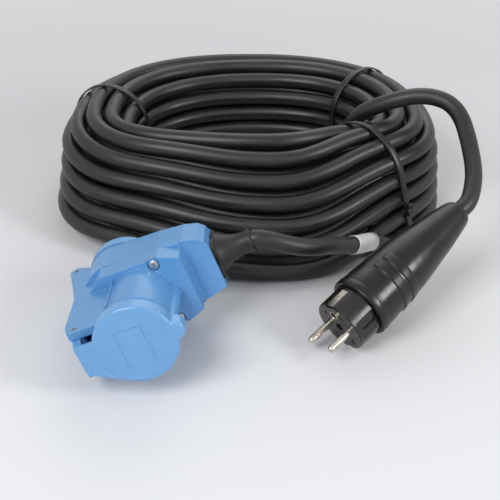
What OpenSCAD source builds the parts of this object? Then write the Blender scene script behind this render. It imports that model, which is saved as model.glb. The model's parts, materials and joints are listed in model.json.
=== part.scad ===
// Shore power cord for a caravan: an angled blue camping coupler with a second
// household outlet on its back, 20 m of rubber cable in a tied coil, and a
// rubber household plug. Millimetres, +Z up, standing on z = 0.
// Coupler frame: x = cable exit, y = along the hinges, z = out of the front socket.
// Plug frame: z = from the face to the cable, x = pin to pin, y = earth socket side.

/* [Cable] */
// Diameter of the cable
cord_d = 12; // [11.6:0.1:12.2]
// Radius of one insulated core
core_r = 1.5; // [1.3:0.05:1.6]

/* [Coupler body] */
// Half height of the front block
block_half_h = 24.5; // [24.5:0.25:26]
// Half width of the front block
block_half_w = 32; // [31.5:0.25:33.5]
// Depth of the front block
front_block_depth = 14; // [13:0.5:16]
// Depth of the rear block
rear_block_depth = 26; // [26:0.5:30]
// Wall of both shells
shell_wall = 2.5; // [2.2:0.1:2.8]
// Length of the front barrel
barrel_l = 46; // [44:0.5:50]
// Radius of the front barrel
barrel_r = 22; // [21.8:0.1:22.4]
// Wall of the front barrel
barrel_wall = 2.5; // [2:0.1:2.8]
// Height of the key rib above the barrel
key_rise = 3; // [2.5:0.1:3.2]
// Distance of the rear outlet's axis from the front socket's axis
outlet_offset = 16; // [15:0.25:17]
// Thickness of the rear block around the outlet's well
rear_block_wall = 5.25; // [5.1:0.1:6.2]
// Length of the collar around the rear outlet
outlet_collar_l = 6; // [5:0.25:7]
// Length that the cable chute stands out past the rear block
chute_reach = 10; // [8:0.5:12]
// Half width of the cable chute
chute_half_w = 18; // [17:0.5:18.5]
// Depth of the cable chute
chute_depth = 24; // [23:0.5:25]
// Length of the rubber boot
boot_l = 25; // [22:0.5:30]
// Radius of the boot's cable end
boot_end_r = 9; // [8:0.1:9.5]
// Roll of the coupler as it lies
coupler_roll = 22; // [19:1:25]
// Pitch of the coupler as it lies
coupler_pitch = 6; // [4:0.5:8]

/* [Lids] */
// Thickness of a lid's plate
lid_plate = 2.5; // [2:0.1:3]
// Height of a lid's skirt
lid_skirt = 6.5; // [6:0.25:7]
// Wall of a lid's skirt
lid_wall = 1.8; // [1.4:0.1:2]
// Radius of the rounding at a lid's rim
lid_round = 2; // [1:0.1:2.2]
// Radius of the front lid's lifting ear
ear_r = 6.5; // [6:0.1:7]
// Thickness of a lid's seal
seal_t = 3; // [2.5:0.1:3.4]
// Distance of the front hinge pin from its lid's rim
front_hinge_out = 8.5; // [7.75:0.25:9.25]
// Distance of the front hinge pin behind the barrel's mouth
front_pin_drop = 8; // [7.5:0.25:9]
// Distance of the rear hinge pin from its lid's rim
rear_hinge_out = 4.5; // [4.25:0.25:5.5]
// Distance of the rear hinge pin behind the outlet's mouth
rear_pin_drop = 4.5; // [4:0.25:5]
// Radius of the hinge pins
hinge_pin_r = 1.5; // [1.3:0.05:1.6]
// Radius of the hinge knuckles
knuckle_r = 3.8; // [3.5:0.1:4.2]
// Half length of the hinge between its brackets
hinge_half_gap = 11.2; // [10.5:0.1:12]
// Thickness of one hinge bracket
bracket_t = 5.3; // [4.5:0.1:6]
// Depth of the blank recess in the front lid
label_recess = 0.5; // [0.3:0.1:0.8]
// Width of the blank recess
label_w = 17.5; // [14:0.5:20]
// Height of the blank recess
label_h = 25.5; // [20:0.5:28]
// Wire of the lid springs
spring_wire_d = 0.8; // [0.6:0.05:0.9]

/* [Front socket] */
// Radius of the circle that the three contacts lie on
socket_pitch_r = 12; // [11.8:0.1:12.4]
// Diameter of the line and neutral bores
socket_bore_d = 5.1; // [5:0.05:5.2]
// Diameter of the earth bore
socket_earth_bore_d = 7.1; // [7:0.05:7.2]
// Wall of a contact sleeve
sleeve_wall = 1.3; // [1.1:0.1:1.4]
// Depth of a contact bore
socket_bore_depth = 28; // [24:1:30]

/* [Rear outlet] */
// Diameter of the outlet's well
well_d = 39.5; // [39:0.1:40]
// Depth of the outlet's well
well_depth = 17.5; // [17:0.25:18]
// Distance between the two line contacts
pin_spacing = 19; // [18.8:0.1:19.2]
// Diameter of the two line bores
outlet_bore_d = 5; // [4.9:0.05:5.2]
// Depth of the two line bores
outlet_bore_depth = 14; // [12:0.5:15]

/* [Plug] */
// Diameter of the two plug pins
pin_d = 4.8; // [4.7:0.05:4.9]
// Length of the plug pins in front of the face
pin_l = 19; // [18:0.5:20]
// Radius of the plug's face
plug_face_r = 18.4; // [18.2:0.1:18.8]
// Length of the face piece in front of the hood
plug_nose_l = 18; // [17:0.5:20]
// Radius of the hood's collar
hood_r = 21.4; // [21:0.1:22]
// Length of the hood's collar
hood_collar_l = 6; // [5:0.5:8]
// Length of the hood
hood_l = 100; // [96:1:106]
// Radius of the hood's cable end
hood_end_r = 9.2; // [9:0.1:10]
// Diameter of the earth socket's bore
earth_socket_d = 4.9; // [4.8:0.05:5]
// Distance of the earth socket from the pins' line
earth_socket_offset = 10; // [9.8:0.1:10.2]
// Rise of the plug's axis towards the cable
plug_rise = 20; // [18:1:23]
// Turn of the plug about the vertical
plug_turn = 41.5; // [38:0.5:44]
// Roll of the plug about its axis
plug_roll = 75; // [70:1:80]

/* [Coil] */
// Whole turns in the outer layer of the coil
coil_loops = 12; // [10:1:12]
// Height of the cable's centre over the sides of the coil
coil_side_top = 76.5; // [76:0.5:79]
// Height of the cable's centre over the front of the coil
coil_front_top = 79; // [78.5:0.5:82]
// Half width of the coil's hole, to the cable's centre
coil_hole_half_w = 91; // [90:1:94]
// Half depth of the hole towards the coupler
coil_hole_front = 44; // [43:0.5:46]
// Half depth of the hole away from the coupler
coil_hole_back = 72; // [70:1:76]
// Lean of the outer side at the front
coil_front_lean = 38; // [37:0.5:39]
// Lean of the outer side at the ends and the back
coil_side_lean = 5; // [4:0.5:6]
// Distance that the right front of the coil is drawn in by its tie
coil_pinch = 9; // [7:0.5:10]
// Thickness of a cable tie
tie_t = 1.3; // [1:0.1:1.5]
// Width of a cable tie
tie_w = 4.8; // [3.6:0.1:7.6]

/* [Hidden] */

// Clearances
gap = 0.3;
slip = 0.15;
run = 0.08;
eps = 0.01;
fine = 64;

// Cable
cord_r = cord_d / 2;
core_hole_r = core_r + slip;
core_ring_r = cord_r / 2;

// Coupler, along its front axis
joint_z = -front_block_depth;
body_back_z = joint_z - rear_block_depth;
outlet_mouth_z = body_back_z - outlet_collar_l;
mouth_z = barrel_l;
pole = [0, 0, 1];

// Front block, an octagon with unequal corners
left_cut = [12, 9.5];
right_cut = [13, 5];
// Rear block beside the outlet
rear_shoulder_x = 17;
rear_drop = 1;
rear_step = 2;
// Barrel
bore_r = barrel_r - barrel_wall;
key_r = 4;
key_x = barrel_r + key_rise - key_r;
band_rise = 0.6;
band_z = mouth_z - 13;
band_w = 2;
guard_rise = 2.2;
guard_w = 2;
guard_drop = 14;
guard_angles = [122, 138, 154];

// Screws of the housing
screw_x = 15.5;
screw_edge = 4.5;
screw_y = block_half_h - screw_edge;
screw_head_r = 3.2;
screw_head_h = 1.8;
screw_r = 1.4;
screw_l = 22;
pocket_r = 3.8;
pocket_h = 2;
post_r = 3.9;

// Seal between the shells
seal_inset = 0.8;
seal_w = 1.4;
housing_seal_t = 1;

// Hinges
bracket_y = hinge_half_gap + bracket_t;
low_bracket_y = hinge_half_gap + 3;
rear_block_r = well_d / 2 + rear_block_wall;
collar_r = rear_block_r - 1.6;
front_lid_bore = barrel_r + 1.7;
rear_lid_bore = collar_r + gap;
front_lid_r = front_lid_bore + lid_wall;
rear_lid_r = rear_lid_bore + lid_wall;
front_hinge_reach = front_lid_r + front_hinge_out;
rear_hinge_reach = rear_lid_r + rear_hinge_out;
front_pin = [-front_hinge_reach, mouth_z - front_pin_drop];
rear_pin = [-outlet_offset - rear_hinge_reach, outlet_mouth_z + rear_pin_drop];
bracket_round = knuckle_r + 0.7;
web_t = 2.5;
knuckle_in = 5;
spring_half_l = 4.4;
spring_turns = 5;
spring_r = 2.4;

// Lids
plate_back = seal_t + gap;
lid_face = plate_back + lid_plate;
skirt_back = plate_back - lid_skirt;
bracket_top = mouth_z + skirt_back - 0.8;
ear_x = front_lid_bore + 0.6;
rear_ear_r = 5;
rear_ear_x = rear_lid_bore - 1.2;
front_seal_r = front_lid_bore - 0.9;
rear_seal_r = rear_lid_bore - 0.9;
seal_ring_w = 3;

// Front socket insert and contacts
insert_r = bore_r - gap;
insert_front_z = mouth_z - 0.5;
insert_flange_r = bore_r + 1.4;
insert_flange_t = 3.5;
insert_back_z = -shell_wall - insert_flange_t;
contact_tail = 8;
contact_back_z = insert_back_z - contact_tail;
contact_front_z = insert_front_z - 2.1;
earth_place = [socket_pitch_r, 0];
line_place = [-socket_pitch_r / 2, socket_pitch_r * sqrt(3) / 2];
neutral_place = [line_place[0], -line_place[1]];
small_r = socket_bore_d / 2 + sleeve_wall;
large_r = socket_earth_bore_d / 2 + sleeve_wall;
grub_r = 1.25;
grub_l = 4;
grub_back = 3.5;
wire_hole_l = 7;

// Rear outlet
well_wall = 1.5;
outlet_r = well_d / 2 + well_wall;
outlet_floor = 3.5;
well_floor_z = outlet_mouth_z + well_depth;
outlet_flange_r = outlet_r + 0.95;
outlet_flange_t = 2;
rear_inside_z = body_back_z + shell_wall;
ring_inside_z = joint_z - rear_step - shell_wall;
sleeve_r = outlet_bore_d / 2 + sleeve_wall;
sleeve_back_z = well_floor_z + 0.5;
sleeve_top_z = contact_back_z + 2.5;
sleeve_l = sleeve_top_z - sleeve_back_z;
sleeve_post_r = sleeve_r + 1.4;
sleeve_post_top = sleeve_top_z - 2.5;
clip_t = 0.8;
clip_w = 6;
clip_x = well_d / 2 - 1.15;
clip_mouth = 2;
clip_bridge_z = well_floor_z + outlet_floor + gap;

// Cable entry of the coupler
cable_z = body_back_z + 9.5;
chute_z = cable_z - chute_depth / 2;
chute_start_x = 30;
chute_x = 38 + chute_reach;
boot_flange_t = 2.5;
boot_flange_low = 16;
boot_x = chute_x + boot_l;
boot_flange_h = 12;
boot_bell_r = 11.8;
tail_x = 20;
clamp_x = tail_x + 1;
clamp_w = 6;
clamp_t = 3;
clamp_half_l = 14;
clamp_post_r = 3.2;
clamp_screw_y = 10.5;
clamp_under_z = cable_z + cord_r + slip;
clamp_screw_r = 1.3;

// The coupler as it lies: rows of its turning matrix, and the point that puts
// the middle of its underside on the origin
function about_x(a) = [[1, 0, 0], [0, cos(a), -sin(a)], [0, sin(a), cos(a)]];
function about_y(a) = [[cos(a), 0, sin(a)], [0, 1, 0], [-sin(a), 0, cos(a)]];
function about_z(a) = [[cos(a), -sin(a), 0], [sin(a), cos(a), 0], [0, 0, 1]];
coupler_rows = about_x(-coupler_pitch) * about_y(-coupler_roll) * about_x(90);
chute_end = [chute_x, chute_half_w];
// Outermost discs of the coupler: centre, radius and axis
rims = [
    [[0, 0, mouth_z + lid_face], front_lid_r - lid_round, pole],
    [[0, 0, mouth_z + lid_face - lid_round], front_lid_r, pole],
    [[ear_x, 0, mouth_z + lid_face], ear_r - lid_round, pole],
    [[-outlet_offset, 0, outlet_mouth_z - lid_face], rear_lid_r - lid_round, pole],
    [[-outlet_offset, 0, outlet_mouth_z - lid_face + lid_round], rear_lid_r, pole],
    [[-outlet_offset, 0, outlet_mouth_z - skirt_back], rear_lid_r, pole],
    [[rear_pin[0], bracket_y, rear_pin[1]], bracket_round, [0, 1, 0]],
    [[rear_pin[0], -low_bracket_y, rear_pin[1]], bracket_round, [0, 1, 0]],
    [[rear_pin[0], 0, rear_pin[1]], knuckle_r, [0, 1, 0]],
    [[boot_x, 0, cable_z], boot_end_r, [1, 0, 0]],
    [[rear_shoulder_x, rear_block_r - rear_drop, joint_z], 0, pole],
    [[left_cut[0] - block_half_w, block_half_h, 0], 0, pole]
];
function reach(d) = max([for (k = rims) k[0] * d + k[1] * norm(d - (d * k[2]) * k[2])]);
function middle(d) = (reach(d) - reach(-d)) / 2;
coupler_at = [-middle(coupler_rows[0]), -middle(coupler_rows[1]), reach(-coupler_rows[2])];
function coupler_dir(v) = coupler_rows * v;
function coupler_point(v) = coupler_at + coupler_rows * v;

// Plug, along its axis
pin_r = pin_d / 2;
pin_shank_r = pin_r - 0.3;
nose_flat = 16.8;
core_piece_r = 16.8;
core_piece_l = 20;
cup_r = 14.8;
cup_z = 14;
hood_bore_r = core_piece_r + gap;
hood_grip_r = hood_r - 1.4;
hood_end_z = plug_nose_l + hood_l;
bar_w = 5.2;
bar_t = 1.2;
bar_out = 17.9;
bridge_z = cup_z + 0.3;
earth_r = earth_socket_d / 2 + 0.8;
block_r = 3.4;
block_l = 10;
tongue_z = 30;
tongue_l = 22;
tongue_half_w = 13;
tongue_t = 3;
plug_clamp_z = 44;
plug_clamp_l = 7;
plug_screw_x = 9.6;
plug_tail_z = 42;
plug_turning = about_z(plug_turn) * about_y(90 - plug_rise) * about_z(plug_roll);
plug_at = [113.2, -1.6, plug_face_r * cos(plug_rise)];
function plug_point(v) = plug_at + plug_turning * v;

// Coil: outline of the bundle across the cable, from its outer foot over the
// crown to its inner foot, as distance from the hole and height
coil_at = [56.7, 191.2];
row_z = tie_t + gap + cord_r;
side_crown_r = 24;
front_crown_r = 14;
coil_squareness = 2.3;
front_run = 16;
coil_from = -43;
coil_to = -103;
pinch_angle = -48;
pinch_spread = 24;
lid_room_angle = -122;
lid_room_spread = 18;
lid_room_depth = 8.5;
lid_room_top = 65;
rings_per_loop = 24;
coil_sides = 6;
core_inset = cord_r + gap * 4;
core_foot_gap = 2.5;
core_s = [0.11, 0.2, 0.29, 0.38, 0.45, 0.52, 0.59, 0.66, 0.73, 0.82, 0.91, 1];
tie_angles = [-40, 40, 163];
tie_head = [6.5, 5, 3.5];
tie_steps = 40;
function outline(s, crown, top, lean, run) =
    let (zc = top - crown,
         wall = (zc + crown * sin(lean) - row_z) / cos(lean),
         arc = crown * (180 - lean) * PI / 180,
         u = s * (run + wall + arc + zc - row_z) - run,
         foot = crown * (1 + cos(lean)) + wall * sin(lean))
    u < 0 ? [foot - u, row_z]
    : u < wall ? [foot - u * sin(lean), row_z + u * cos(lean)]
    : u < wall + arc
        ? let (t = lean + (u - wall) / crown * 180 / PI)
          [crown * (1 + cos(t)), zc + crown * sin(t)]
    : [0, zc - (u - wall - arc)];
// Share of the hollow that the low turns leave for the swing of the rear lid
function lid_room(t) =
    let (d = (t - lid_room_angle + 900) % 360 - 180) exp(-pow(d / lid_room_spread, 2));
function frontness(t) = pow(max(0, -sin(t)), cos(t) > 0 ? 2.6 : 1.2);
function bundle(s, t) =
    let (w = frontness(t))
    (1 - w) * outline(s, side_crown_r, coil_side_top, coil_side_lean, 0)
    + w * outline(s, front_crown_r, coil_front_top, coil_front_lean,
        front_run * w * w * (1 - lid_room(t)));
// The same outline moved out by off
function skin(s, t, off) =
    let (step = 0.004, d = bundle(min(1, s + step), t) - bundle(max(0, s - step), t))
    bundle(s, t) + off / norm(d) * [d[1], -d[0]];
function bow(c) = sign(c) * pow(abs(c), 2 / coil_squareness);
function pinch(t) =
    let (d = (t - pinch_angle + 900) % 360 - 180) coil_pinch * exp(-pow(d / pinch_spread, 2));
function around(t, pz) = [
    coil_at[0] + (coil_hole_half_w + pz[0]) * bow(cos(t)) - pinch(t) * cos(pinch_angle),
    coil_at[1] + ((sin(t) < 0 ? coil_hole_front : coil_hole_back) + pz[0]) * bow(sin(t))
        - pinch(t) * sin(pinch_angle)
        + lid_room_depth * lid_room(t) * max(0, 1 - (pz[1] - row_z) / lid_room_top),
    pz[1]];
coil_angle = 360 * coil_loops + coil_to - coil_from;
coil_steps = round(coil_angle / 360 * rings_per_loop);
winding = [for (i = [0 : coil_steps])
    around(coil_from + coil_angle * i / coil_steps, bundle(i / coil_steps,
        coil_from + coil_angle * i / coil_steps))];
coil_start_dir = flat_unit(winding[1] - winding[0]);
coil_end_dir = flat_unit(winding[coil_steps] - winding[coil_steps - 1]);
coil_path = concat([winding[0] - cord_d * coil_start_dir], winding,
    [winding[coil_steps] + cord_d * coil_end_dir]);
coil_gap = min([for (i = [0 : coil_steps - rings_per_loop - 4])
    min([for (j = [i + rings_per_loop - 4 : i + rings_per_loop + 4])
        norm(winding[i] - winding[j])])]) - cord_d;
echo(least_gap_of_the_coil_to_itself = coil_gap);
function unit(v) = v / norm(v);
function flat_unit(v) = unit([v[0], v[1], 0]);

// Free stretches of the cable: chosen points between a straight start and end
lead_points = [[80.9, 34.1, 63], [90.7, 37.3, 58], [99.7, 44.1, 51], [108.5, 52.7, 43.5],
    [117.5, 61.7, 36.5], [126.1, 71.7, 30.5], [132.6, 78.9, 27.4], [142.2, 87.8, 25],
    [147.2, 92.4, 22.5], [152.9, 95.4, 16], [157, 102, 10.3]];
plug_lead_points = [[62.7, 151.2, 8], [78.7, 158.2, 9], [92.7, 167.2, 12], [103.7, 175.2, 19],
    [112.7, 181.2, 30], [119.7, 184.2, 43], [125.7, 184.7, 56], [132.7, 181.4, 69],
    [139.7, 176.8, 81], [151.7, 170.9, 90.5], [164.2, 166.7, 97], [176.7, 163.7, 101],
    [188.2, 160.4, 102], [197.7, 155.9, 100.5], [203.7, 149.9, 97.5], [207.7, 141.4, 92.8],
    [209.7, 130.4, 86.5], [210.5, 117.9, 79.5], [210, 106.2, 73.5], [208.5, 95.4, 68.3],
    [205.7, 85.9, 64]];
boot_end = coupler_point([boot_x, 0, cable_z]);
boot_dir = coupler_dir([1, 0, 0]);
plug_end = plug_point([0, 0, hood_end_z]);
plug_dir = plug_turning * [0, 0, 1];
lead_path = concat([boot_end, boot_end + cord_d * boot_dir], lead_points, [coil_path[0]]);
plug_lead_path = concat([coil_path[coil_steps + 2]], plug_lead_points,
    [plug_end + 9 * plug_dir, plug_end]);
lead_sides = 10;
label_from = 7;
label_to = 9;
label_sleeve_r = cord_r + gap + 0.1;
label_sleeve_t = 0.6;

// A tube swept along points; its first sideways direction is carried along
function tangent(p, i, first, last) =
    i == 0 ? first : i == len(p) - 1 ? last
    : unit(unit(p[i + 1] - p[i]) + unit(p[i] - p[i - 1]));
function carried(p, t, side, i = 0, done = []) =
    i == len(p) ? done
    : let (n = unit(side - (side * t[i]) * t[i])) carried(p, t, n, i + 1, concat(done, [n]));
function tube_faces(rings, sides) = concat(
    [for (k = [1 : sides - 2]) [0, k, k + 1]],
    [for (i = [0 : rings - 2], k = [0 : sides - 1], h = [0, 1])
        let (a = i * sides + k, b = i * sides + (k + 1) % sides)
        h == 0 ? [a, a + sides, b] : [b, a + sides, b + sides]],
    [for (k = [1 : sides - 2]) let (e = (rings - 1) * sides) [e, e + k + 1, e + k]]);
module tube(p, r, sides, first, last, side = [0, 0, 1], from = 0, to = -1) {
    t = [for (i = [0 : len(p) - 1]) tangent(p, i, first, last)];
    n = carried(p, t, side);
    end = to < 0 ? len(p) - 1 : to;
    points = [for (i = [from : end], k = [0 : sides - 1])
        let (a = 360 * k / sides)
        p[i] + r * (cos(a) * n[i] + sin(a) * cross(t[i], n[i]))];
    polyhedron(points, tube_faces(end - from + 1, sides));
}

// ---------- Coupler: shapes that several pieces share ----------
module at_coupler() {
    translate(coupler_at)
        rotate([-coupler_pitch, 0, 0]) rotate([0, -coupler_roll, 0]) rotate([90, 0, 0])
            children();
}

module at_front_mouth() { translate([0, 0, mouth_z]) children(); }

module at_outlet_mouth() {
    translate([-outlet_offset, 0, outlet_mouth_z]) mirror([0, 0, 1]) children();
}

// Octagon of the front block, drawn in by inset
module front_outline(inset = 0) {
    w = block_half_w - inset;
    h = block_half_h - inset;
    k = inset * 0.4;
    left = left_cut - [k, k];
    right = right_cut - [k, k];
    polygon([[-w, left[1] - h], [left[0] - w, -h], [w - right[0], -h], [w, right[1] - h],
        [w, h - right[1]], [w - right[0], h], [left[0] - w, h], [-w, h - left[1]]]);
}

module rear_outline(inset = 0) {
    r = rear_block_r - inset;
    top = r - rear_drop;
    w = chute_half_w - inset * 0.8;
    e = chute_x - inset;
    translate([-outlet_offset, 0]) circle(r = r, $fn = fine);
    polygon([[-outlet_offset, r], [rear_shoulder_x, top], [e - 14, top - 1.6], [e - 5.5, w + 2],
        [e - 1.5, w - 1.5], [e, w - 6], [e, -w], [e - 9, -w - 2.7], [e - 15, 1.8 - top],
        [rear_shoulder_x, -top], [-outlet_offset, -r]]);
}

// A flat shape in the x-z plane, extruded from y0 to y1
module upright(y0, y1) {
    translate([0, y1, 0]) rotate([90, 0, 0]) linear_extrude(y1 - y0) children();
}

module both_sides() {
    children();
    mirror([0, 1, 0]) children();
}

// A cylinder along y, centred on a pin's place in the x-z plane
module across(place, r, half_l, sides = fine) {
    translate([place[0], -half_l, place[1]]) rotate([-90, 0, 0])
        cylinder(r = r, h = 2 * half_l, $fn = sides);
}

module cross_recess(r, depth) {
    for (a = [0, 90]) rotate([0, 0, a]) translate([-r, -0.35, -depth])
        cube([2 * r, 0.7, depth + eps]);
}

// Pan-head screw, the head's underside on z = 0
module pan_screw(head_r, head_h, shank_r, shank_l) {
    difference() {
        union() {
            rotate_extrude($fn = 32) polygon([[0, 0], [head_r, 0], [head_r, head_h * 0.5],
                [head_r * 0.85, head_h * 0.8], [head_r * 0.55, head_h], [0, head_h]]);
            translate([0, 0, -shank_l]) cylinder(r = shank_r, h = shank_l + eps, $fn = 32);
        }
        translate([0, 0, head_h]) cross_recess(head_r * 0.6, head_h * 0.6);
    }
}

module grub_screw() {
    difference() {
        cylinder(r = grub_r, h = grub_l, $fn = 24);
        translate([-grub_r, -0.25, grub_l - 0.6]) cube([2 * grub_r, 0.5, 1]);
    }
}

// ---------- Coupler: housing ----------
module front_shell() {
    color("#62a3de") at_coupler() difference() {
        union() {
            difference() {
                union() {
                    translate([0, 0, joint_z]) linear_extrude(front_block_depth) front_outline();
                    cylinder(r = barrel_r, h = barrel_l, $fn = fine);
                    translate([0, 0, band_z]) cylinder(r = barrel_r + band_rise, h = band_w, $fn = fine);
                    translate([key_x, 0, 0]) cylinder(r = key_r, h = barrel_l - 1, $fn = 32);
                    for (a = guard_angles) rotate([0, 0, a]) translate([0, -guard_w / 2, 0])
                        cube([barrel_r + guard_rise, guard_w, barrel_l - guard_drop]);
                    upright(hinge_half_gap, bracket_y) front_bracket();
                    upright(-low_bracket_y, -hinge_half_gap) front_bracket();
                    upright(-hinge_half_gap, hinge_half_gap) front_web();
                }
                translate([0, 0, joint_z - eps]) linear_extrude(front_block_depth - shell_wall + eps)
                    front_outline(shell_wall);
                translate([0, 0, -shell_wall - eps])
                    cylinder(r = bore_r, h = barrel_l + shell_wall + 1, $fn = fine);
            }
            for (s = [-1, 1]) translate([screw_x, s * screw_y, joint_z])
                cylinder(r = post_r, h = front_block_depth, $fn = 32);
        }
        for (s = [-1, 1]) translate([screw_x, s * screw_y, 0]) {
            translate([0, 0, joint_z - eps])
                cylinder(r = screw_r + slip, h = front_block_depth + 1, $fn = 32);
            translate([0, 0, -pocket_h]) cylinder(r = pocket_r, h = pocket_h + 1, $fn = 32);
            translate([-pocket_r, s > 0 ? 0 : -pocket_r - 2, -pocket_h])
                cube([2 * pocket_r, pocket_r + 2, pocket_h + 1]);
        }
        across(front_pin, hinge_pin_r + run, bracket_y + 1);
        translate([0, 0, joint_z - eps]) linear_extrude(housing_seal_t + eps) difference() {
            front_outline(seal_inset - 0.1);
            front_outline(seal_inset + seal_w + 0.1);
        }
    }
}

module front_bracket() {
    x = front_pin[0];
    polygon([[-14, bracket_top], [x - 4, bracket_top], [x - 6.5, bracket_top - 8],
        [x - 6.5, 0], [x - 9.6, joint_z], [-28, joint_z], [-14, 0]]);
}

module front_web() {
    x = front_pin[0];
    polygon([[x - 2, bracket_top - 12], [x - 2 - web_t, bracket_top - 12],
        [x - 2 - web_t, 0], [x - 5 - web_t, joint_z], [x - 5, joint_z], [x - 2, 0]]);
}

module rear_shell() {
    color("#62a3de") at_coupler() difference() {
        union() {
            difference() {
                union() {
                    translate([0, 0, body_back_z])
                        linear_extrude(rear_block_depth - rear_step) rear_outline();
                    translate([0, 0, body_back_z]) linear_extrude(rear_block_depth) intersection() {
                        rear_outline();
                        translate([-60, -40]) square([60 + block_half_w, 80]);
                    }
                    translate([-outlet_offset, 0, outlet_mouth_z])
                        cylinder(r = collar_r, h = outlet_collar_l + 1, $fn = fine);
                    translate([0, 0, chute_z]) linear_extrude(body_back_z - chute_z + eps)
                        intersection() {
                            rear_outline();
                            translate([chute_start_x, -chute_half_w])
                                square([30, 2 * chute_half_w - 6]);
                        }
                    upright(hinge_half_gap, bracket_y) rear_bracket();
                    upright(-low_bracket_y, -hinge_half_gap) rear_bracket();
                    upright(-hinge_half_gap, hinge_half_gap) rear_web();
                }
                translate([0, 0, rear_inside_z])
                    linear_extrude(ring_inside_z - rear_inside_z + eps) rear_outline(shell_wall);
                translate([0, 0, ring_inside_z]) linear_extrude(joint_z - ring_inside_z + 1)
                    intersection() {
                        rear_outline(shell_wall);
                        front_outline(shell_wall);
                    }
                translate([-outlet_offset, 0, outlet_mouth_z - 1])
                    cylinder(r = outlet_r + gap, h = 20, $fn = fine);
                translate([chute_x - shell_wall - 1, 0, cable_z]) rotate([0, 90, 0])
                    cylinder(r = cord_r + gap, h = shell_wall + 2, $fn = 32);
            }
            for (s = [-1, 1]) {
                translate([screw_x, s * screw_y, rear_inside_z - eps])
                    cylinder(r = post_r, h = joint_z - rear_inside_z + eps, $fn = 32);
                translate([clamp_x + clamp_w / 2, s * clamp_screw_y, rear_inside_z - eps])
                    cylinder(r = clamp_post_r, h = clamp_under_z - rear_inside_z + eps, $fn = 32);
            }
        }
        for (s = [-1, 1]) {
            translate([screw_x, s * screw_y, rear_inside_z + 1])
                cylinder(r = screw_r + slip, h = 40, $fn = 32);
            translate([clamp_x + clamp_w / 2, s * clamp_screw_y, rear_inside_z + 1])
                cylinder(r = clamp_screw_r + slip, h = 30, $fn = 32);
        }
        across(rear_pin, hinge_pin_r + run, bracket_y + 1);
    }
}

module rear_bracket() {
    x = rear_pin[0];
    translate(rear_pin) circle(r = bracket_round, $fn = 32);
    polygon([[x + 14, joint_z], [x + 2.4, joint_z], [x - bracket_round, rear_pin[1]],
        [x, rear_pin[1] - bracket_round], [x + 14, body_back_z + 2]]);
}

module rear_web() {
    x = rear_pin[0] + 2.4;
    polygon([[x, joint_z], [x + web_t, joint_z], [x + web_t - 3, rear_pin[1] + 9],
        [x - 3, rear_pin[1] + 9]]);
}

module housing_seal() {
    color("#2a2a2c") at_coupler() translate([0, 0, joint_z]) linear_extrude(housing_seal_t)
        difference() {
            front_outline(seal_inset);
            front_outline(seal_inset + seal_w);
        }
}

module housing_screws() {
    color("#c9ccd0") at_coupler() for (s = [-1, 1])
        translate([screw_x, s * screw_y, -pocket_h])
            rotate([0, 0, 35]) pan_screw(screw_head_r, screw_head_h, screw_r, screw_l);
}

// ---------- Coupler: front socket ----------
module contact_hole(place, r) {
    translate([place[0], place[1], insert_back_z - 1])
        cylinder(r = r + slip, h = contact_front_z - insert_back_z + 1 + slip, $fn = 48);
}

module socket_insert() {
    color("#2f6fb4") at_coupler() difference() {
        union() {
            translate([0, 0, insert_back_z])
                cylinder(r = insert_r, h = insert_front_z - insert_back_z, $fn = fine);
            translate([0, 0, insert_back_z])
                cylinder(r = insert_flange_r, h = insert_flange_t, $fn = fine);
        }
        contact_hole(line_place, small_r);
        contact_hole(neutral_place, small_r);
        contact_hole(earth_place, large_r);
        for (p = [line_place, neutral_place]) translate([p[0], p[1], 0])
            cylinder(r = socket_bore_d / 2 + gap, h = mouth_z + 1, $fn = 48);
        translate([earth_place[0], earth_place[1], 0])
            cylinder(r = socket_earth_bore_d / 2 + gap, h = mouth_z + 1, $fn = 48);
    }
}

// Turned sleeve with a bore in front, a wire hole behind and a screw hole beside it
module socket_contact(place, r, bore, out_angle) {
    translate([place[0], place[1], 0]) difference() {
        translate([0, 0, contact_back_z])
            cylinder(r = r, h = contact_front_z - contact_back_z, $fn = 48);
        translate([0, 0, contact_front_z - socket_bore_depth])
            cylinder(r = bore / 2, h = socket_bore_depth + 1, $fn = 48);
        translate([0, 0, contact_back_z - 1])
            cylinder(r = core_hole_r, h = wire_hole_l + 1, $fn = 32);
        translate([0, 0, contact_back_z + grub_back]) rotate([0, 90, out_angle])
            cylinder(r = grub_r + slip, h = r + 1, $fn = 24);
    }
}

module socket_line_contact() {
    color("#c9a24a") at_coupler() socket_contact(line_place, small_r, socket_bore_d, 90);
}

module socket_neutral_contact() {
    color("#c9a24a") at_coupler() socket_contact(neutral_place, small_r, socket_bore_d, -90);
}

module socket_earth_contact() {
    color("#c9a24a") at_coupler() socket_contact(earth_place, large_r, socket_earth_bore_d, 0);
}

module socket_terminal_screws() {
    color("#c9ccd0") at_coupler() for (k = [[line_place, 90], [neutral_place, -90], [earth_place, 0]])
        translate([k[0][0], k[0][1], contact_back_z + grub_back]) rotate([0, 90, k[1]])
            translate([0, 0, core_hole_r + slip]) grub_screw();
}

// ---------- Coupler: lids ----------
// Disc with a rounded face, its rim from z0 to the face
module rounded_disc(r, z0) {
    q = lid_round;
    rotate_extrude($fn = fine) polygon(concat([[0, z0], [r, z0]],
        [for (a = [0 : 15 : 90]) [r - q + q * cos(a), lid_face - q + q * sin(a)]],
        [[0, lid_face]]));
}

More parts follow.
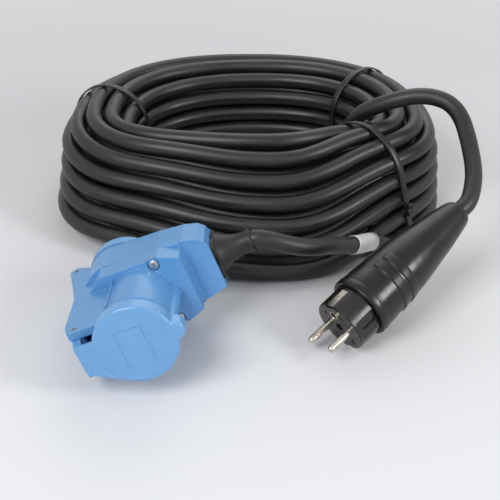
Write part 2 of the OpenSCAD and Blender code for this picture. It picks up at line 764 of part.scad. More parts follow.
module lid(bore, hinge_reach, pin_drop, tab_x, tab_r, recess) {
    lid_r = bore + lid_wall;
    left = -hinge_reach - 0.8;
    half = hinge_half_gap - gap;
    difference() {
        union() {
            difference() {
                union() {
                    rounded_disc(lid_r, skirt_back);
                    translate([tab_x, 0, 0]) rounded_disc(tab_r, skirt_back);
                }
                translate([0, 0, skirt_back - 1])
                    cylinder(r = bore, h = lid_skirt + 1, $fn = fine);
                translate([tab_x, 0, skirt_back - 1])
                    cylinder(r = tab_r - lid_wall, h = lid_skirt + 1, $fn = 48);
            }
            translate([0, 0, plate_back]) linear_extrude(lid_plate - 0.3)
                polygon([[left, half], [left, 4 - half], [left + 1.5, 1.5 - half],
                    [left + 4, 0.3 - half], [-lid_r * 0.65, -lid_r * 0.75], [0, -10], [0, half]]);
            both_sides() upright(knuckle_in, half) {
                translate([-hinge_reach, -pin_drop]) circle(r = knuckle_r, $fn = 32);
                polygon([[-hinge_reach - knuckle_r, -pin_drop], [left, plate_back + 1],
                    [left + 5, plate_back + 1], [-hinge_reach + 1.5, -pin_drop]]);
            }
        }
        across([-hinge_reach, -pin_drop], hinge_pin_r + run, hinge_half_gap + 1, 32);
        if (recess > 0) translate([-label_w / 2 - 0.5, -label_h / 2 - 1.2, lid_face - recess])
            cube([label_w, label_h, recess + 1]);
    }
}

module lid_seal(r) {
    translate([0, 0, gap]) difference() {
        cylinder(r = r, h = seal_t, $fn = fine);
        translate([0, 0, -1]) cylinder(r = r - seal_ring_w, h = seal_t + 2, $fn = fine);
    }
}

module front_lid() {
    color("#6aabe3") at_coupler() at_front_mouth()
        lid(front_lid_bore, front_hinge_reach, front_pin_drop, ear_x, ear_r, label_recess);
}

module rear_lid() {
    color("#6aabe3") at_coupler() at_outlet_mouth()
        lid(rear_lid_bore, rear_hinge_reach, rear_pin_drop, rear_ear_x, rear_ear_r, 0);
}

module front_lid_seal() { color("#2a2a2c") at_coupler() at_front_mouth() lid_seal(front_seal_r); }

module rear_lid_seal() { color("#2a2a2c") at_coupler() at_outlet_mouth() lid_seal(rear_seal_r); }

module pin_between(place, r, y0, y1) {
    translate([place[0], y0, place[1]]) rotate([-90, 0, 0]) cylinder(r = r, h = y1 - y0, $fn = 32);
}

module hollow_pin(place) {
    difference() {
        pin_between(place, hinge_pin_r, -low_bracket_y - 0.2, bracket_y + 0.2);
        pin_between(place, hinge_pin_r * 0.55, -low_bracket_y - 1, bracket_y + 1);
    }
}

module front_hinge_pin() { color("#c9ccd0") at_coupler() hollow_pin(front_pin); }

module rear_hinge_pin() { color("#c9ccd0") at_coupler() hollow_pin(rear_pin); }

// Torsion spring wound around a pin, with a straight leg at each end
module lid_spring(place, leg) {
    rings = 8 * spring_turns;
    helix = [for (i = [0 : rings])
        [place[0] + spring_r * cos(45 * i), spring_half_l * (2 * i / rings - 1),
         place[1] + spring_r * sin(45 * i)]];
    end = helix[rings];
    path = concat([helix[0] + [0, 0, -leg]], helix, [end + [0, 0, leg * 0.6]]);
    tube(path, spring_wire_d / 2, 6, [0, 0, 1], [0, 0, 1], [0, 1, 0]);
}

module front_lid_spring() { color("#b9bcc0") at_coupler() lid_spring(front_pin, 8); }

module rear_lid_spring() {
    color("#b9bcc0") at_coupler() mirror([0, 0, 1]) lid_spring([rear_pin[0], -rear_pin[1]], 7);
}

// ---------- Coupler: rear outlet ----------
module outlet_insert() {
    color("#2f6fb4") at_coupler() translate([-outlet_offset, 0, 0]) difference() {
        union() {
            translate([0, 0, outlet_mouth_z])
                cylinder(r = outlet_r, h = well_depth + outlet_floor, $fn = fine);
            translate([0, 0, rear_inside_z])
                cylinder(r = outlet_flange_r, h = outlet_flange_t, $fn = fine);
            for (s = [-1, 1]) translate([0, s * pin_spacing / 2, well_floor_z + 1])
                cylinder(r = sleeve_post_r, h = sleeve_post_top - well_floor_z - 1, $fn = 48);
        }
        translate([0, 0, outlet_mouth_z - 1]) cylinder(r = well_d / 2, h = well_depth + 1, $fn = fine);
        for (s = [-1, 1]) {
            translate([0, s * pin_spacing / 2, sleeve_back_z - slip])
                cylinder(r = sleeve_r + slip, h = 40, $fn = 48);
            translate([0, s * pin_spacing / 2, well_floor_z - 1])
                cylinder(r = outlet_bore_d / 2 + gap, h = 4, $fn = 48);
            translate([s * clip_x - 1, -clip_w / 2 - gap, well_floor_z - 1])
                cube([2, clip_w + 2 * gap, outlet_floor + 2]);
        }
    }
}

module outlet_contact(s) {
    translate([-outlet_offset, s * pin_spacing / 2, sleeve_back_z]) difference() {
        cylinder(r = sleeve_r, h = sleeve_l, $fn = 48);
        translate([0, 0, -1]) cylinder(r = outlet_bore_d / 2, h = outlet_bore_depth + 1, $fn = 48);
    }
}

module outlet_line_contact() { color("#c9a24a") at_coupler() outlet_contact(1); }

module outlet_neutral_contact() { color("#c9a24a") at_coupler() outlet_contact(-1); }

module outlet_earth_clip() {
    top = clip_bridge_z + clip_t;
    color("#cfd2d6") at_coupler() translate([-outlet_offset, 0, 0]) {
        translate([-clip_x - clip_t / 2, -clip_w / 2, clip_bridge_z])
            cube([2 * clip_x + clip_t, clip_w, clip_t]);
        for (s = [-1, 1]) translate([s * clip_x - clip_t / 2, -clip_w / 2, outlet_mouth_z + clip_mouth])
            cube([clip_t, clip_w, top - outlet_mouth_z - clip_mouth]);
    }
}

// ---------- Coupler: cable entry ----------
module at_cable(x) { translate([x, 0, cable_z]) rotate([90, 0, 90]) children(); }

module cable_boot() {
    color("#38383a") at_coupler() difference() {
        union() {
            at_cable(chute_x) linear_extrude(boot_flange_t)
                polygon([[-boot_flange_low, 3 - boot_flange_h], [3 - boot_flange_low, -boot_flange_h],
                    [9, -boot_flange_h], [12, 3 - boot_flange_h], [12, boot_flange_h - 3],
                    [9, boot_flange_h], [3 - boot_flange_low, boot_flange_h],
                    [-boot_flange_low, boot_flange_h - 3]]);
            at_cable(chute_x) rotate_extrude($fn = 48) polygon(concat(
                [[0, 0], [boot_bell_r, 0]],
                [for (i = [0 : 6]) let (f = i / 6)
                    [boot_end_r - 0.6 + (boot_bell_r - boot_end_r + 0.6) * pow(1 - f, 2),
                     boot_flange_t + (boot_l - 5 - boot_flange_t) * f]],
                [[boot_end_r, boot_l - 4.5], [boot_end_r, boot_l], [0, boot_l]]));
        }
        at_cable(chute_x - 1) cylinder(r = cord_r + slip, h = boot_l + 2, $fn = 48);
    }
}

module coupler_cable_tail() {
    color("#2e2e2d") at_coupler() at_cable(tail_x) cylinder(r = cord_r, h = boot_x - tail_x, $fn = 48);
}

module coupler_cord_clamp() {
    color("#2f6fb4") at_coupler() difference() {
        translate([clamp_x, -clamp_half_l, clamp_under_z]) cube([clamp_w, 2 * clamp_half_l, clamp_t]);
        for (s = [-1, 1]) translate([clamp_x + clamp_w / 2, s * clamp_screw_y, clamp_under_z - 1])
            cylinder(r = clamp_screw_r + slip, h = clamp_t + 2, $fn = 32);
    }
}

module coupler_clamp_screws() {
    color("#c9ccd0") at_coupler() for (s = [-1, 1])
        translate([clamp_x + clamp_w / 2, s * clamp_screw_y, clamp_under_z + clamp_t])
            pan_screw(2.4, 1.5, clamp_screw_r, 11);
}

// One core from the end of the cable, through chosen points, into a wire hole
module core_wire(points, first, last) {
    tube(points, core_r - slip, 8, first, last, [0, 1, 0]);
}

// Live cores of one side: from the cable to the front socket, and on to the outlet
module pole_wires(s) {
    x = line_place[0];
    y = line_place[1];
    z = contact_back_z;
    to_socket = [[tail_x, 2.8, cable_z - 1.6], [tail_x - 6, 4.5, cable_z - 0.5],
        [tail_x - 10.5, 6.5, cable_z + 3.5], [5, y - 2, z - 8.5], [x + 5, y - 0.4, z - 6],
        [x + 1, y, z - 3.8], [x, y, z - 1.5], [x, y, z + 4]];
    to_outlet = [[x, y, z + 2], [x, y, z - 1.2], [x - 0.8, y - 1.2, z - 3.2],
        [x - 2.6, y - 3.9, z - 3.5], [x - 4.2, y - 5.8, z - 1],
        [4.5 - outlet_offset, 4.2, z + 3], [3 - outlet_offset, 5.5, z + 5.8],
        [1.4 - outlet_offset, 7.4, z + 6.1], [0.2 - outlet_offset, pin_spacing / 2 - 0.3, z + 5.4],
        [-outlet_offset, pin_spacing / 2, z + 4], [-outlet_offset, pin_spacing / 2, sleeve_top_z]];
    core_wire([for (p = to_socket) [p[0], s * p[1], p[2]]], [-1, 0, 0], [0, 0, 1]);
    core_wire([for (p = to_outlet) [p[0], s * p[1], p[2]]], [0, 0, -1], [0, 0, -1]);
}

module coupler_line_wires() { color("#7a4a2a") at_coupler() pole_wires(1); }

module coupler_neutral_wires() { color("#2f62b5") at_coupler() pole_wires(-1); }

module coupler_earth_wires() {
    x = earth_place[0];
    z = contact_back_z;
    top = clip_bridge_z + clip_t;
    color("#7fae3a") at_coupler() {
        core_wire([[tail_x, 0, cable_z + 3.2], [tail_x - 3, 0, cable_z + 3.9],
            [x + 2, 0, cable_z + 6.5], [x + 0.3, 0, z - 6.5], [x, 0, z - 3], [x, 0, z + 4]],
            [-1, 0, 0], [0, 0, 1]);
        core_wire([[x, 0, z + 2], [x, 0, z - 1.5], [x - 1.5, 0, z - 4.5], [x - 5, 0, top + 3.6],
            [x - 8, 0, top + 3.4], [x - 11.5, 0, top + 3.2], [x - 13.3, 0, top + 1.9],
            [x - 13.5, 0, top]], [0, 0, -1], [0, 0, -1]);
    }
}

// ---------- Cable ----------
module lead_to_coupler() {
    color("#2e2e2d") tube(lead_path, cord_r, lead_sides, boot_dir, coil_start_dir);
}

module cable_label() {
    last = len(lead_path) - 1;
    color("#f2f2ee") difference() {
        tube(lead_path, label_sleeve_r + label_sleeve_t, lead_sides, boot_dir, coil_start_dir,
            from = label_from, to = label_to);
        tube(lead_path, label_sleeve_r, lead_sides, boot_dir, coil_start_dir,
            from = label_from - 1, to = label_to + 1);
    }
}

module coil_turns() {
    color("#2e2e2d") tube(coil_path, cord_r, coil_sides, coil_start_dir, coil_end_dir);
}

module lead_to_plug() {
    color("#2e2e2d") tube(plug_lead_path, cord_r, lead_sides, coil_end_dir, plug_dir);
}

// Cross-section as a closed ring of points, joined from station to station
function ring_faces(stations, n) = [
    for (i = [0 : stations - 1], k = [0 : n - 1], h = [0, 1])
        let (a = i * n + k, b = i * n + (k + 1) % n,
             c = (i + 1) % stations * n + k, d = (i + 1) % stations * n + (k + 1) % n)
        h == 0 ? [a, c, b] : [b, c, d]];

// The inner turns, as one plain ring under the outer layer
module coil_core() {
    at = [for (k = [0 : rings_per_loop - 1]) coil_from + 360 * k / rings_per_loop];
    s0 = core_s[0];
    inner_inset = core_inset + core_foot_gap;
    points = [for (t = at) each concat(
        [around(t, [skin(s0, t, -core_inset)[0], tie_t + gap])],
        [for (s = core_s) around(t, skin(s, t, s > 0.7 ? -inner_inset : -core_inset))],
        [around(t, [skin(1, t, -inner_inset)[0], tie_t + gap])])];
    color("#262625") polyhedron(points, ring_faces(rings_per_loop, len(core_s) + 2));
}

// A point of the bundle's skin, on the straight run between two rings of the coil
function on_chord(t, pz0, pz1) =
    let (step = 360 / rings_per_loop, k = floor((t - coil_from) / step),
         f = (t - coil_from) / step - k)
    (1 - f) * around(coil_from + k * step, pz0) + f * around(coil_from + (k + 1) * step, pz1);
function chord_skin(t, s, off) =
    let (step = 360 / rings_per_loop, a = coil_from + floor((t - coil_from) / step) * step)
    on_chord(t, skin(s, a, off), skin(s, a + step, off));
// Round the lowest row on the outside (s = 0) or on the inside (s = 1)
function foot(t, s, off, a) =
    let (step = 360 / rings_per_loop, t0 = coil_from + floor((t - coil_from) / step) * step,
         v = off * [cos(a), sin(a)])
    on_chord(t, bundle(s, t0) + v, bundle(s, t0 + step) + v);
function tie_loop(t, off) =
    let (d = bundle(0.004, t) - bundle(0, t), a0 = atan2(-d[0], d[1]))
    concat([for (i = [0 : tie_steps]) chord_skin(t, i / tie_steps, off)],
        [for (i = [1 : 4]) foot(t, 1, off, 180 + 90 * i / 4)],
        [for (i = [0 : 5]) foot(t, 0, off, -90 + (a0 + 90) * i / 6)]);

// Run of the cable under a tie
function cable_dir(t, s) =
    let (step = 360 / rings_per_loop, a = coil_from + floor((t - coil_from) / step) * step)
    flat_unit(around(a + step, bundle(s, a + step)) - around(a, bundle(s, a)));

module cable_tie(t) {
    inner = tie_loop(t, cord_r + gap);
    outer = tie_loop(t, cord_r + gap + tie_t);
    n = len(inner);
    w = [for (i = [0 : n - 1])
        tie_w / 2 * cable_dir(t, i <= tie_steps ? i / tie_steps : i <= tie_steps + 4 ? 1 : 0)];
    polyhedron([for (i = [0 : n - 1])
        each [inner[i] - w[i], outer[i] - w[i], outer[i] + w[i], inner[i] + w[i]]],
        ring_faces(n, 4));
    // Head of the tie
    q = unit(w[4]);
    out = unit(cross(q, outer[5] - outer[4]));
    up = cross(out, q);
    at = (outer[4] + outer[5]) / 2 - 0.3 * out;
    multmatrix([[q[0], up[0], out[0], at[0]], [q[1], up[1], out[1], at[1]],
        [q[2], up[2], out[2], at[2]], [0, 0, 0, 1]])
        translate([-tie_head[0] / 2, -tie_head[1] / 2, 0]) cube(tie_head);
}

module cable_ties() {
    color("#1d1d1e") for (t = tie_angles) cable_tie(t);
}

// ---------- Plug ----------
module at_plug() {
    translate(plug_at) rotate([0, 0, plug_turn]) rotate([0, 90 - plug_rise, 0])
        rotate([0, 0, plug_roll]) children();
}

module plug_hood() {
    z = plug_nose_l;
    color("#2b2b2c") at_plug() {
        rotate_extrude($fn = fine) polygon([[hood_bore_r, z], [hood_r - 0.6, z], [hood_r, z + 0.6],
            [hood_r, z + hood_collar_l - 0.6], [hood_r - 0.6, z + hood_collar_l],
            [hood_grip_r + 0.8, z + hood_collar_l], [hood_grip_r, z + 25],
            [hood_grip_r - 1.2, z + 45], [hood_end_r + 0.3, hood_end_z - 0.6],
            [hood_end_r - 0.4, hood_end_z], [cord_r + slip, hood_end_z],
            [cord_r + slip, hood_end_z - 22], [hood_bore_r, z + 40]]);
        for (b = [22, 30]) rotate([0, 0, 100]) rotate_extrude(angle = 150, $fn = fine)
            translate([hood_grip_r - 1.2, z + b]) square([2.7 - b / 30, 5.5]);
    }
}

module plug_insert() {
    color("#141415") at_plug() difference() {
        union() {
            rotate_extrude($fn = fine) polygon([[0, 0], [plug_face_r - 0.8, 0], [plug_face_r, 0.8],
                [plug_face_r, plug_nose_l], [0, plug_nose_l]]);
            translate([0, 0, plug_nose_l - 1])
                cylinder(r = core_piece_r, h = core_piece_l + 1, $fn = fine);
            translate([-tongue_half_w, -cord_r - gap - tongue_t, tongue_z])
                cube([2 * tongue_half_w, tongue_t, tongue_l]);
        }
        difference() {
            translate([0, 0, cup_z]) cylinder(r = cup_r, h = 60, $fn = fine);
            translate([-20, -cord_r - gap - tongue_t, tongue_z]) cube([40, tongue_t, 60]);
        }
        for (s = [-1, 1]) {
            translate([s * pin_spacing / 2, 0, -1])
                cylinder(r = pin_shank_r + slip, h = cup_z + 2, $fn = 48);
            translate([s > 0 ? nose_flat : -nose_flat - 3, -7, 3]) cube([3, 14, plug_nose_l - 3]);
            translate([s > 0 ? nose_flat - 1 : -nose_flat - 2, -1.5, 6]) cube([3, 3, plug_nose_l - 8]);
            translate([-bar_w / 2 - gap, s > 0 ? bar_out - bar_t - gap : -bar_out - 2, -1])
                cube([bar_w + 2 * gap, bar_t + 2 + gap, bridge_z + bar_t + gap + 1]);
            translate([-bar_w / 2 - gap, s > 0 ? cup_r - 2 : -bar_out, cup_z])
                cube([bar_w + 2 * gap, bar_out - cup_r + 2, bridge_z + bar_t + gap - cup_z]);
            for (k = [-1, 1]) translate([s * 7.3 - 0.6, k * 10.4 - 2, -1]) cube([1.2, 4, 4]);
            translate([s * plug_screw_x, -12, plug_clamp_z + plug_clamp_l / 2]) rotate([-90, 0, 0])
                cylinder(r = clamp_screw_r + slip, h = 12, $fn = 32);
        }
        translate([0, earth_socket_offset, -1]) cylinder(r = earth_r + slip, h = cup_z + 2, $fn = 48);
        translate([0, 0, -1]) cylinder(r = 3, h = 3, $fn = 32);
    }
}

module plug_pins() {
    color("#cfd2d6") at_plug() for (s = [-1, 1]) translate([s * pin_spacing / 2, 0, 0]) {
        rotate_extrude($fn = 48) polygon(concat([[0, cup_z + 1], [0, -pin_l]],
            [for (a = [15 : 15 : 90]) [pin_r * sin(a), pin_r * (1 - cos(a)) - pin_l]],
            [[pin_r, 0], [pin_shank_r, 0], [pin_shank_r, cup_z + 1]]));
        difference() {
            translate([0, 0, cup_z]) cylinder(r = block_r, h = block_l, $fn = 48);
            translate([0, 0, cup_z + block_l - wire_hole_l]) cylinder(r = core_hole_r, h = 20, $fn = 32);
            translate([0, 0, cup_z + block_l - grub_back]) rotate([-90, 0, 0])
                cylinder(r = grub_r + slip, h = 5, $fn = 24);
        }
    }
}

module plug_earth_bars() {
    color("#cfd2d6") at_plug() {
        translate([-bar_w / 2, -bar_out, bridge_z]) cube([bar_w, 2 * bar_out, bar_t]);
        for (s = [-1, 1]) translate([-bar_w / 2, s > 0 ? bar_out - bar_t : -bar_out, 1])
            cube([bar_w, bar_t, bridge_z + bar_t - 1]);
    }
}

module plug_earth_socket() {
    color("#c9a24a") at_plug() translate([0, earth_socket_offset, 0]) difference() {
        cylinder(r = earth_r, h = bridge_z, $fn = 48);
        translate([0, 0, -1]) cylinder(r = earth_socket_d / 2, h = bridge_z - 1, $fn = 48);
    }
}

module plug_terminal_screws() {
    color("#c9ccd0") at_plug() for (s = [-1, 1])
        translate([s * pin_spacing / 2, core_hole_r + slip, cup_z + block_l - grub_back])
            rotate([-90, 0, 0]) grub_screw();
}

module plug_cord_clamp() {
    color("#141415") at_plug() difference() {
        translate([-tongue_half_w, cord_r + slip, plug_clamp_z])
            cube([2 * tongue_half_w, clamp_t, plug_clamp_l]);
        for (s = [-1, 1]) translate([s * plug_screw_x, cord_r - 1, plug_clamp_z + plug_clamp_l / 2])
            rotate([-90, 0, 0]) cylinder(r = clamp_screw_r + slip, h = clamp_t + 3, $fn = 32);
    }
}

module plug_clamp_screws() {
    color("#c9ccd0") at_plug() for (s = [-1, 1])
        translate([s * plug_screw_x, cord_r + slip + clamp_t, plug_clamp_z + plug_clamp_l / 2])
            rotate([-90, 0, 0]) pan_screw(2.4, 1.5, clamp_screw_r, 2 * cord_r + clamp_t + 2.5);
}

module plug_cable_tail() {
    color("#2e2e2d") at_plug() translate([0, 0, plug_tail_z])
        cylinder(r = cord_r, h = hood_end_z - plug_tail_z, $fn = 48);
}

module plug_wires() {
    x = pin_spacing / 2;
    z = plug_tail_z;
    end = cup_z + block_l;
    color("#2f62b5") at_plug() {
        for (s = [-1, 1]) core_wire([[s * 2.8, -1.6, z], [s * 3.6, -1.6, z - 4],
            [s * 6.8, -0.8, z - 9], [s * (x - 0.3), 0, z - 13.5], [s * x, 0, end + 1],
            [s * x, 0, end - 5]], [0, 0, -1], [0, 0, -1]);
        core_wire([[0, 3.2, z], [0, 3.2, z - 5], [0, 1.2, z - 14], [0, -1, z - 21],
            [0, -1.2, bridge_z + bar_t + 2], [0, -1.2, bridge_z + bar_t]], [0, 0, -1], [0, 0, -1]);
    }
}

front_shell();
rear_shell();
housing_seal();
housing_screws();
socket_insert();
socket_line_contact();
socket_neutral_contact();
socket_earth_contact();
socket_terminal_screws();
front_lid();
front_lid_seal();
front_hinge_pin();
front_lid_spring();
outlet_insert();
outlet_line_contact();
outlet_neutral_contact();
outlet_earth_clip();
rear_lid();
rear_lid_seal();
rear_hinge_pin();
rear_lid_spring();
cable_boot();
coupler_cable_tail();
coupler_cord_clamp();
coupler_clamp_screws();
coupler_line_wires();
coupler_neutral_wires();
coupler_earth_wires();
lead_to_coupler();
cable_label();
coil_turns();
coil_core();
cable_ties();
lead_to_plug();
plug_hood();
plug_insert();
plug_pins();
plug_earth_bars();
plug_earth_socket();
plug_terminal_screws();
plug_cord_clamp();
plug_clamp_screws();
plug_cable_tail();
plug_wires();
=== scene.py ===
"""Looks of a caravan shore power cord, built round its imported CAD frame.

The blue coupler, the inserts, the contacts and the plug's face stay the CAD solids, with
full materials. The cable, its marker sleeve and ties, the rubber boot and the plug's hood
are built here. Sizes are in millimetres and are turned to metres where a mesh is made.
"""

from __future__ import annotations

import json
import logging
import math
from dataclasses import dataclass, field
from enum import Enum
from typing import Any, Callable, Iterable, Sequence

import bpy
import numpy as np
from mathutils import Matrix, Vector

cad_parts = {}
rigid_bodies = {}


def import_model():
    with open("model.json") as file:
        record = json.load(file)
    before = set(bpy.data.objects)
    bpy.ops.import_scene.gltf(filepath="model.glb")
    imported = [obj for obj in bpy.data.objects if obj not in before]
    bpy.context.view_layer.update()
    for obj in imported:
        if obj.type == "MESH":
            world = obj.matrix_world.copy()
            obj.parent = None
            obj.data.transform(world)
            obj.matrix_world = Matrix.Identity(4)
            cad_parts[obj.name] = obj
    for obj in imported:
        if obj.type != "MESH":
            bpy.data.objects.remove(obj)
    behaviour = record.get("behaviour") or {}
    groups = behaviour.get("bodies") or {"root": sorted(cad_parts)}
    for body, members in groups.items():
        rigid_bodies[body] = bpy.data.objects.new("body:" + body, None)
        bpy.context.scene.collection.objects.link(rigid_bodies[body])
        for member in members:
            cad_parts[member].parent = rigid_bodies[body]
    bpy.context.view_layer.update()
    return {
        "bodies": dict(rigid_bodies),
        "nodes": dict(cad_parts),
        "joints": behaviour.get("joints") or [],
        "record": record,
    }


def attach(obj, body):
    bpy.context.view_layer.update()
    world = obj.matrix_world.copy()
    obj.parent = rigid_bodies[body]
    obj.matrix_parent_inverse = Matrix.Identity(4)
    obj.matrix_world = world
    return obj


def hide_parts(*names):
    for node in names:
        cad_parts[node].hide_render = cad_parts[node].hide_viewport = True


MM = 0.001
LOG = logging.getLogger("shore_power_cord")

# The body that the cable and all on it ride, and the cable's radius
CORD = "cord"
CORD_R = 6.0
# Attributes that the sweep leaves on the cable: length along it, and place round it
ALONG, RING = "sheath_along", "sheath_ring"
# A square of half width 1, the same with its corners cut, and the section of a strap
SQUARE = ((-1, -1), (1, -1), (1, 1), (-1, 1))
CUT_SQUARE = ((-1, -0.8), (-0.8, -1), (0.8, -1), (1, -0.8), (1, 0.8), (0.8, 1), (-0.8, 1), (-1, 0.8))
STRAP_SECTION = (
    (-1, 0.12), (-0.86, 0), (0.86, 0), (1, 0.12), (1, 0.8), (0.8, 1), (-0.8, 1), (-1, 0.8),
)

Point = tuple[float, float, float]
Flat = tuple[float, float]
Socket = bpy.types.NodeSocket
Node = bpy.types.Node
Tree = bpy.types.NodeTree
Piece = bpy.types.Object
Material = bpy.types.Material


class Grain(Enum):
    """How a moulded skin was left by its mould: grain width in mm and its depth in mm."""

    POLISHED = (1.1, 0.004)
    SATIN = (0.7, 0.012)


# ---------- Nodes ----------
def linear(code: str) -> tuple[float, float, float, float]:
    """Turn an sRGB hex colour to linear light.

    Args:
        code: six hex digits after a hash.

    Returns:
        Red, green, blue and an alpha of 1.
    """
    parts = [int(code[i : i + 2], 16) / 255 for i in (1, 3, 5)]
    light = [c / 12.92 if c <= 0.04045 else ((c + 0.055) / 1.055) ** 2.4 for c in parts]
    return (light[0], light[1], light[2], 1.0)


def waves(size_mm: float) -> float:
    """How many features of a size lie in a metre, which is a texture's scale."""
    return 1000 / size_mm


def feed(node: Node, inputs: dict[str | int, Any]) -> None:
    """Set or link a node's inputs.

    Args:
        node: the node.
        inputs: by input name or number, a plain value, a socket, or a node whose first
            output is meant.
    """
    for key, value in inputs.items():
        if isinstance(value, Node):
            value = value.outputs[0]
        if isinstance(value, Socket):
            node.id_data.links.new(value, node.inputs[key])
        else:
            node.inputs[key].default_value = value


def add(tree: Tree, kind: str, inputs: dict[str | int, Any] | None = None, **settings: Any) -> Node:
    """Add one node with its settings, its values and its links.

    Args:
        tree: the node tree that takes it.
        kind: Blender's name of the node.
        inputs: what its inputs take, as feed() wants it.
        **settings: properties of the node itself.

    Returns:
        The new node.
    """
    node = tree.nodes.new(kind)
    for key, value in settings.items():
        setattr(node, key, value)
    feed(node, inputs or {})
    return node


def blank_material(name: str) -> tuple[Material, Node, Node]:
    """Make a material that holds only its shader and output.

    Args:
        name: the material's name.

    Returns:
        The material, its Principled shader and its output.
    """
    material = bpy.data.materials.new(name)
    material.use_nodes = True
    tree = material.node_tree
    tree.nodes.clear()
    shader = add(tree, "ShaderNodeBsdfPrincipled")
    return material, shader, add(tree, "ShaderNodeOutputMaterial", {"Surface": shader})


def patched(
    tree: Tree, pattern: Node | Socket, span: Flat, under: str | Socket, over: str, most: float = 1.0
) -> Socket:
    """Lay a colour over another where a pattern lets it through.

    Args:
        tree: the material's nodes.
        pattern: the pattern.
        span: its values where the upper colour starts and where it is full.
        under: the lower colour, as a hex code or a socket.
        over: the upper colour's hex code.
        most: how much of the upper colour shows where it is full.

    Returns:
        The mixed colour.
    """
    share = add(tree, "ShaderNodeMapRange",
                {"Value": pattern, "From Min": span[0], "From Max": span[1], "To Max": most})
    lower = linear(under) if isinstance(under, str) else under
    mix = add(tree, "ShaderNodeMix", {0: share, 6: lower, 7: linear(over)}, data_type="RGBA")
    return mix.outputs[2]


def dusted(
    tree: Tree, place: Socket, base: Socket, spacing_mm: float, speck: Flat, most: float, dust: str
) -> Socket:
    """Scatter specks of dust over a colour.

    Args:
        tree: the material's nodes.
        place: the coordinates.
        base: the colour under the dust.
        spacing_mm: distance between specks.
        speck: the speck's edge and its full heart, as shares of that distance.
        most: how much a speck covers at its middle.
        dust: the dust's hex code.

    Returns:
        The dusty colour.
    """
    specks = add(tree, "ShaderNodeTexVoronoi", {"Vector": place, "Scale": waves(spacing_mm)})
    return patched(tree, specks.outputs["Distance"], speck, base, dust, most)


def grained(
    tree: Tree, place: Socket, size_mm: float, detail: float, depth_mm: float, strength: float,
    normal: Node,
) -> Node:
    """Cover a surface with a fine grain, drawn as coarse as it needs to show.

    Args:
        tree: the material's nodes.
        place: the coordinates.
        size_mm: width of the grain.
        detail: how many finer layers it has.
        depth_mm: its depth.
        strength: how much of it is felt.
        normal: the normal under the grain.

    Returns:
        The node that gives the bent normal.
    """
    grain = add(tree, "ShaderNodeTexNoise",
                {"Vector": place, "Scale": waves(size_mm), "Detail": detail})
    return add(tree, "ShaderNodeBump",
               {"Height": grain, "Normal": normal, "Strength": strength, "Distance": depth_mm * MM})


def seen_rays(tree: Tree) -> Node:
    """Tell the rays that come from the eye or a glossy surface from the rest.

    Args:
        tree: the nodes of the floor or of the world.

    Returns:
        The node that gives 1 for such rays and 0 for others.
    """
    ray = add(tree, "ShaderNodeLightPath").outputs
    return add(tree, "ShaderNodeMath", {0: ray["Is Camera Ray"], 1: ray["Is Glossy Ray"]},
               operation="MAXIMUM")


def node_group(name: str, inputs: dict[str, str], result: str) -> tuple[Tree, Node]:
    """Start a geometry node group with named inputs and one geometry output.

    Args:
        name: the group's name.
        inputs: the kind of each input, by its name.
        result: the output's name.

    Returns:
        The group and the node that gives its inputs.
    """
    tree = bpy.data.node_groups.new(name, "GeometryNodeTree")
    for label, kind in inputs.items():
        tree.interface.new_socket(label, in_out="INPUT", socket_type=f"NodeSocket{kind}")
    tree.interface.new_socket(result, in_out="OUTPUT", socket_type="NodeSocketGeometry")
    return tree, add(tree, "NodeGroupInput")


def end_group(tree: Tree, geometry: Node, finish: Socket) -> Tree:
    """End a geometry node group: real geometry, with its material set.

    Args:
        tree: the group.
        geometry: the node that gives what was made so far.
        finish: the socket that gives the material.

    Returns:
        The whole group.
    """
    real = add(tree, "GeometryNodeRealizeInstances", {0: geometry})
    dressed = add(tree, "GeometryNodeSetMaterial", {"Geometry": real, "Material": finish})
    add(tree, "NodeGroupOutput", {0: dressed})
    return tree


# ---------- Places and meshes ----------
@dataclass(frozen=True)
class Seat:
    """A place in the part's frame, and the turns that a piece has there."""

    at: Point
    turns: tuple[tuple[str, float], ...]

    def matrix(self) -> Matrix:
        """Join place and turns.

        Returns:
            The matrix from the seat to the part's frame, in metres.
        """
        turned = Matrix.Identity(4)
        for axis, angle in self.turns:
            turned = turned @ Matrix.Rotation(math.radians(angle), 4, axis)
        return Matrix.Translation(Vector(self.at) * MM) @ turned

    def point(self, x: float, y: float, z: float) -> np.ndarray:
        """A point of the seat in the part's frame, in mm."""
        return np.array(self.matrix() @ Vector((x * MM, y * MM, z * MM))) / MM

    def direction(self, x: float, y: float, z: float) -> np.ndarray:
        """A direction of the seat in the part's frame."""
        return np.array(self.matrix().to_3x3() @ Vector((x, y, z)))


# The coupler as it lies on the floor, with Z out of its front socket, and the plug as it
# leans on the rim of its face, with Z along its axis towards the cable
COUPLER = Seat((-9.02604, 0.313256, 36.5267), (("X", -6.0), ("Y", -22.0), ("X", 90.0)))
PLUG_FACE_R = 18.4
PLUG_LEAN = 70.0
PLUG = Seat(
    (113.2, -1.6, PLUG_FACE_R * math.sin(math.radians(PLUG_LEAN))),
    (("Z", 41.5), ("Y", PLUG_LEAN), ("Z", 75.0)),
)


def placed(name: str, data: bpy.types.ID) -> Piece:
    """Make an object at the origin and link it to the scene.

    Args:
        name: the object's name.
        data: its mesh, lamp or camera.

    Returns:
        The new object.
    """
    piece = bpy.data.objects.new(name, data)
    bpy.context.scene.collection.objects.link(piece)
    return piece


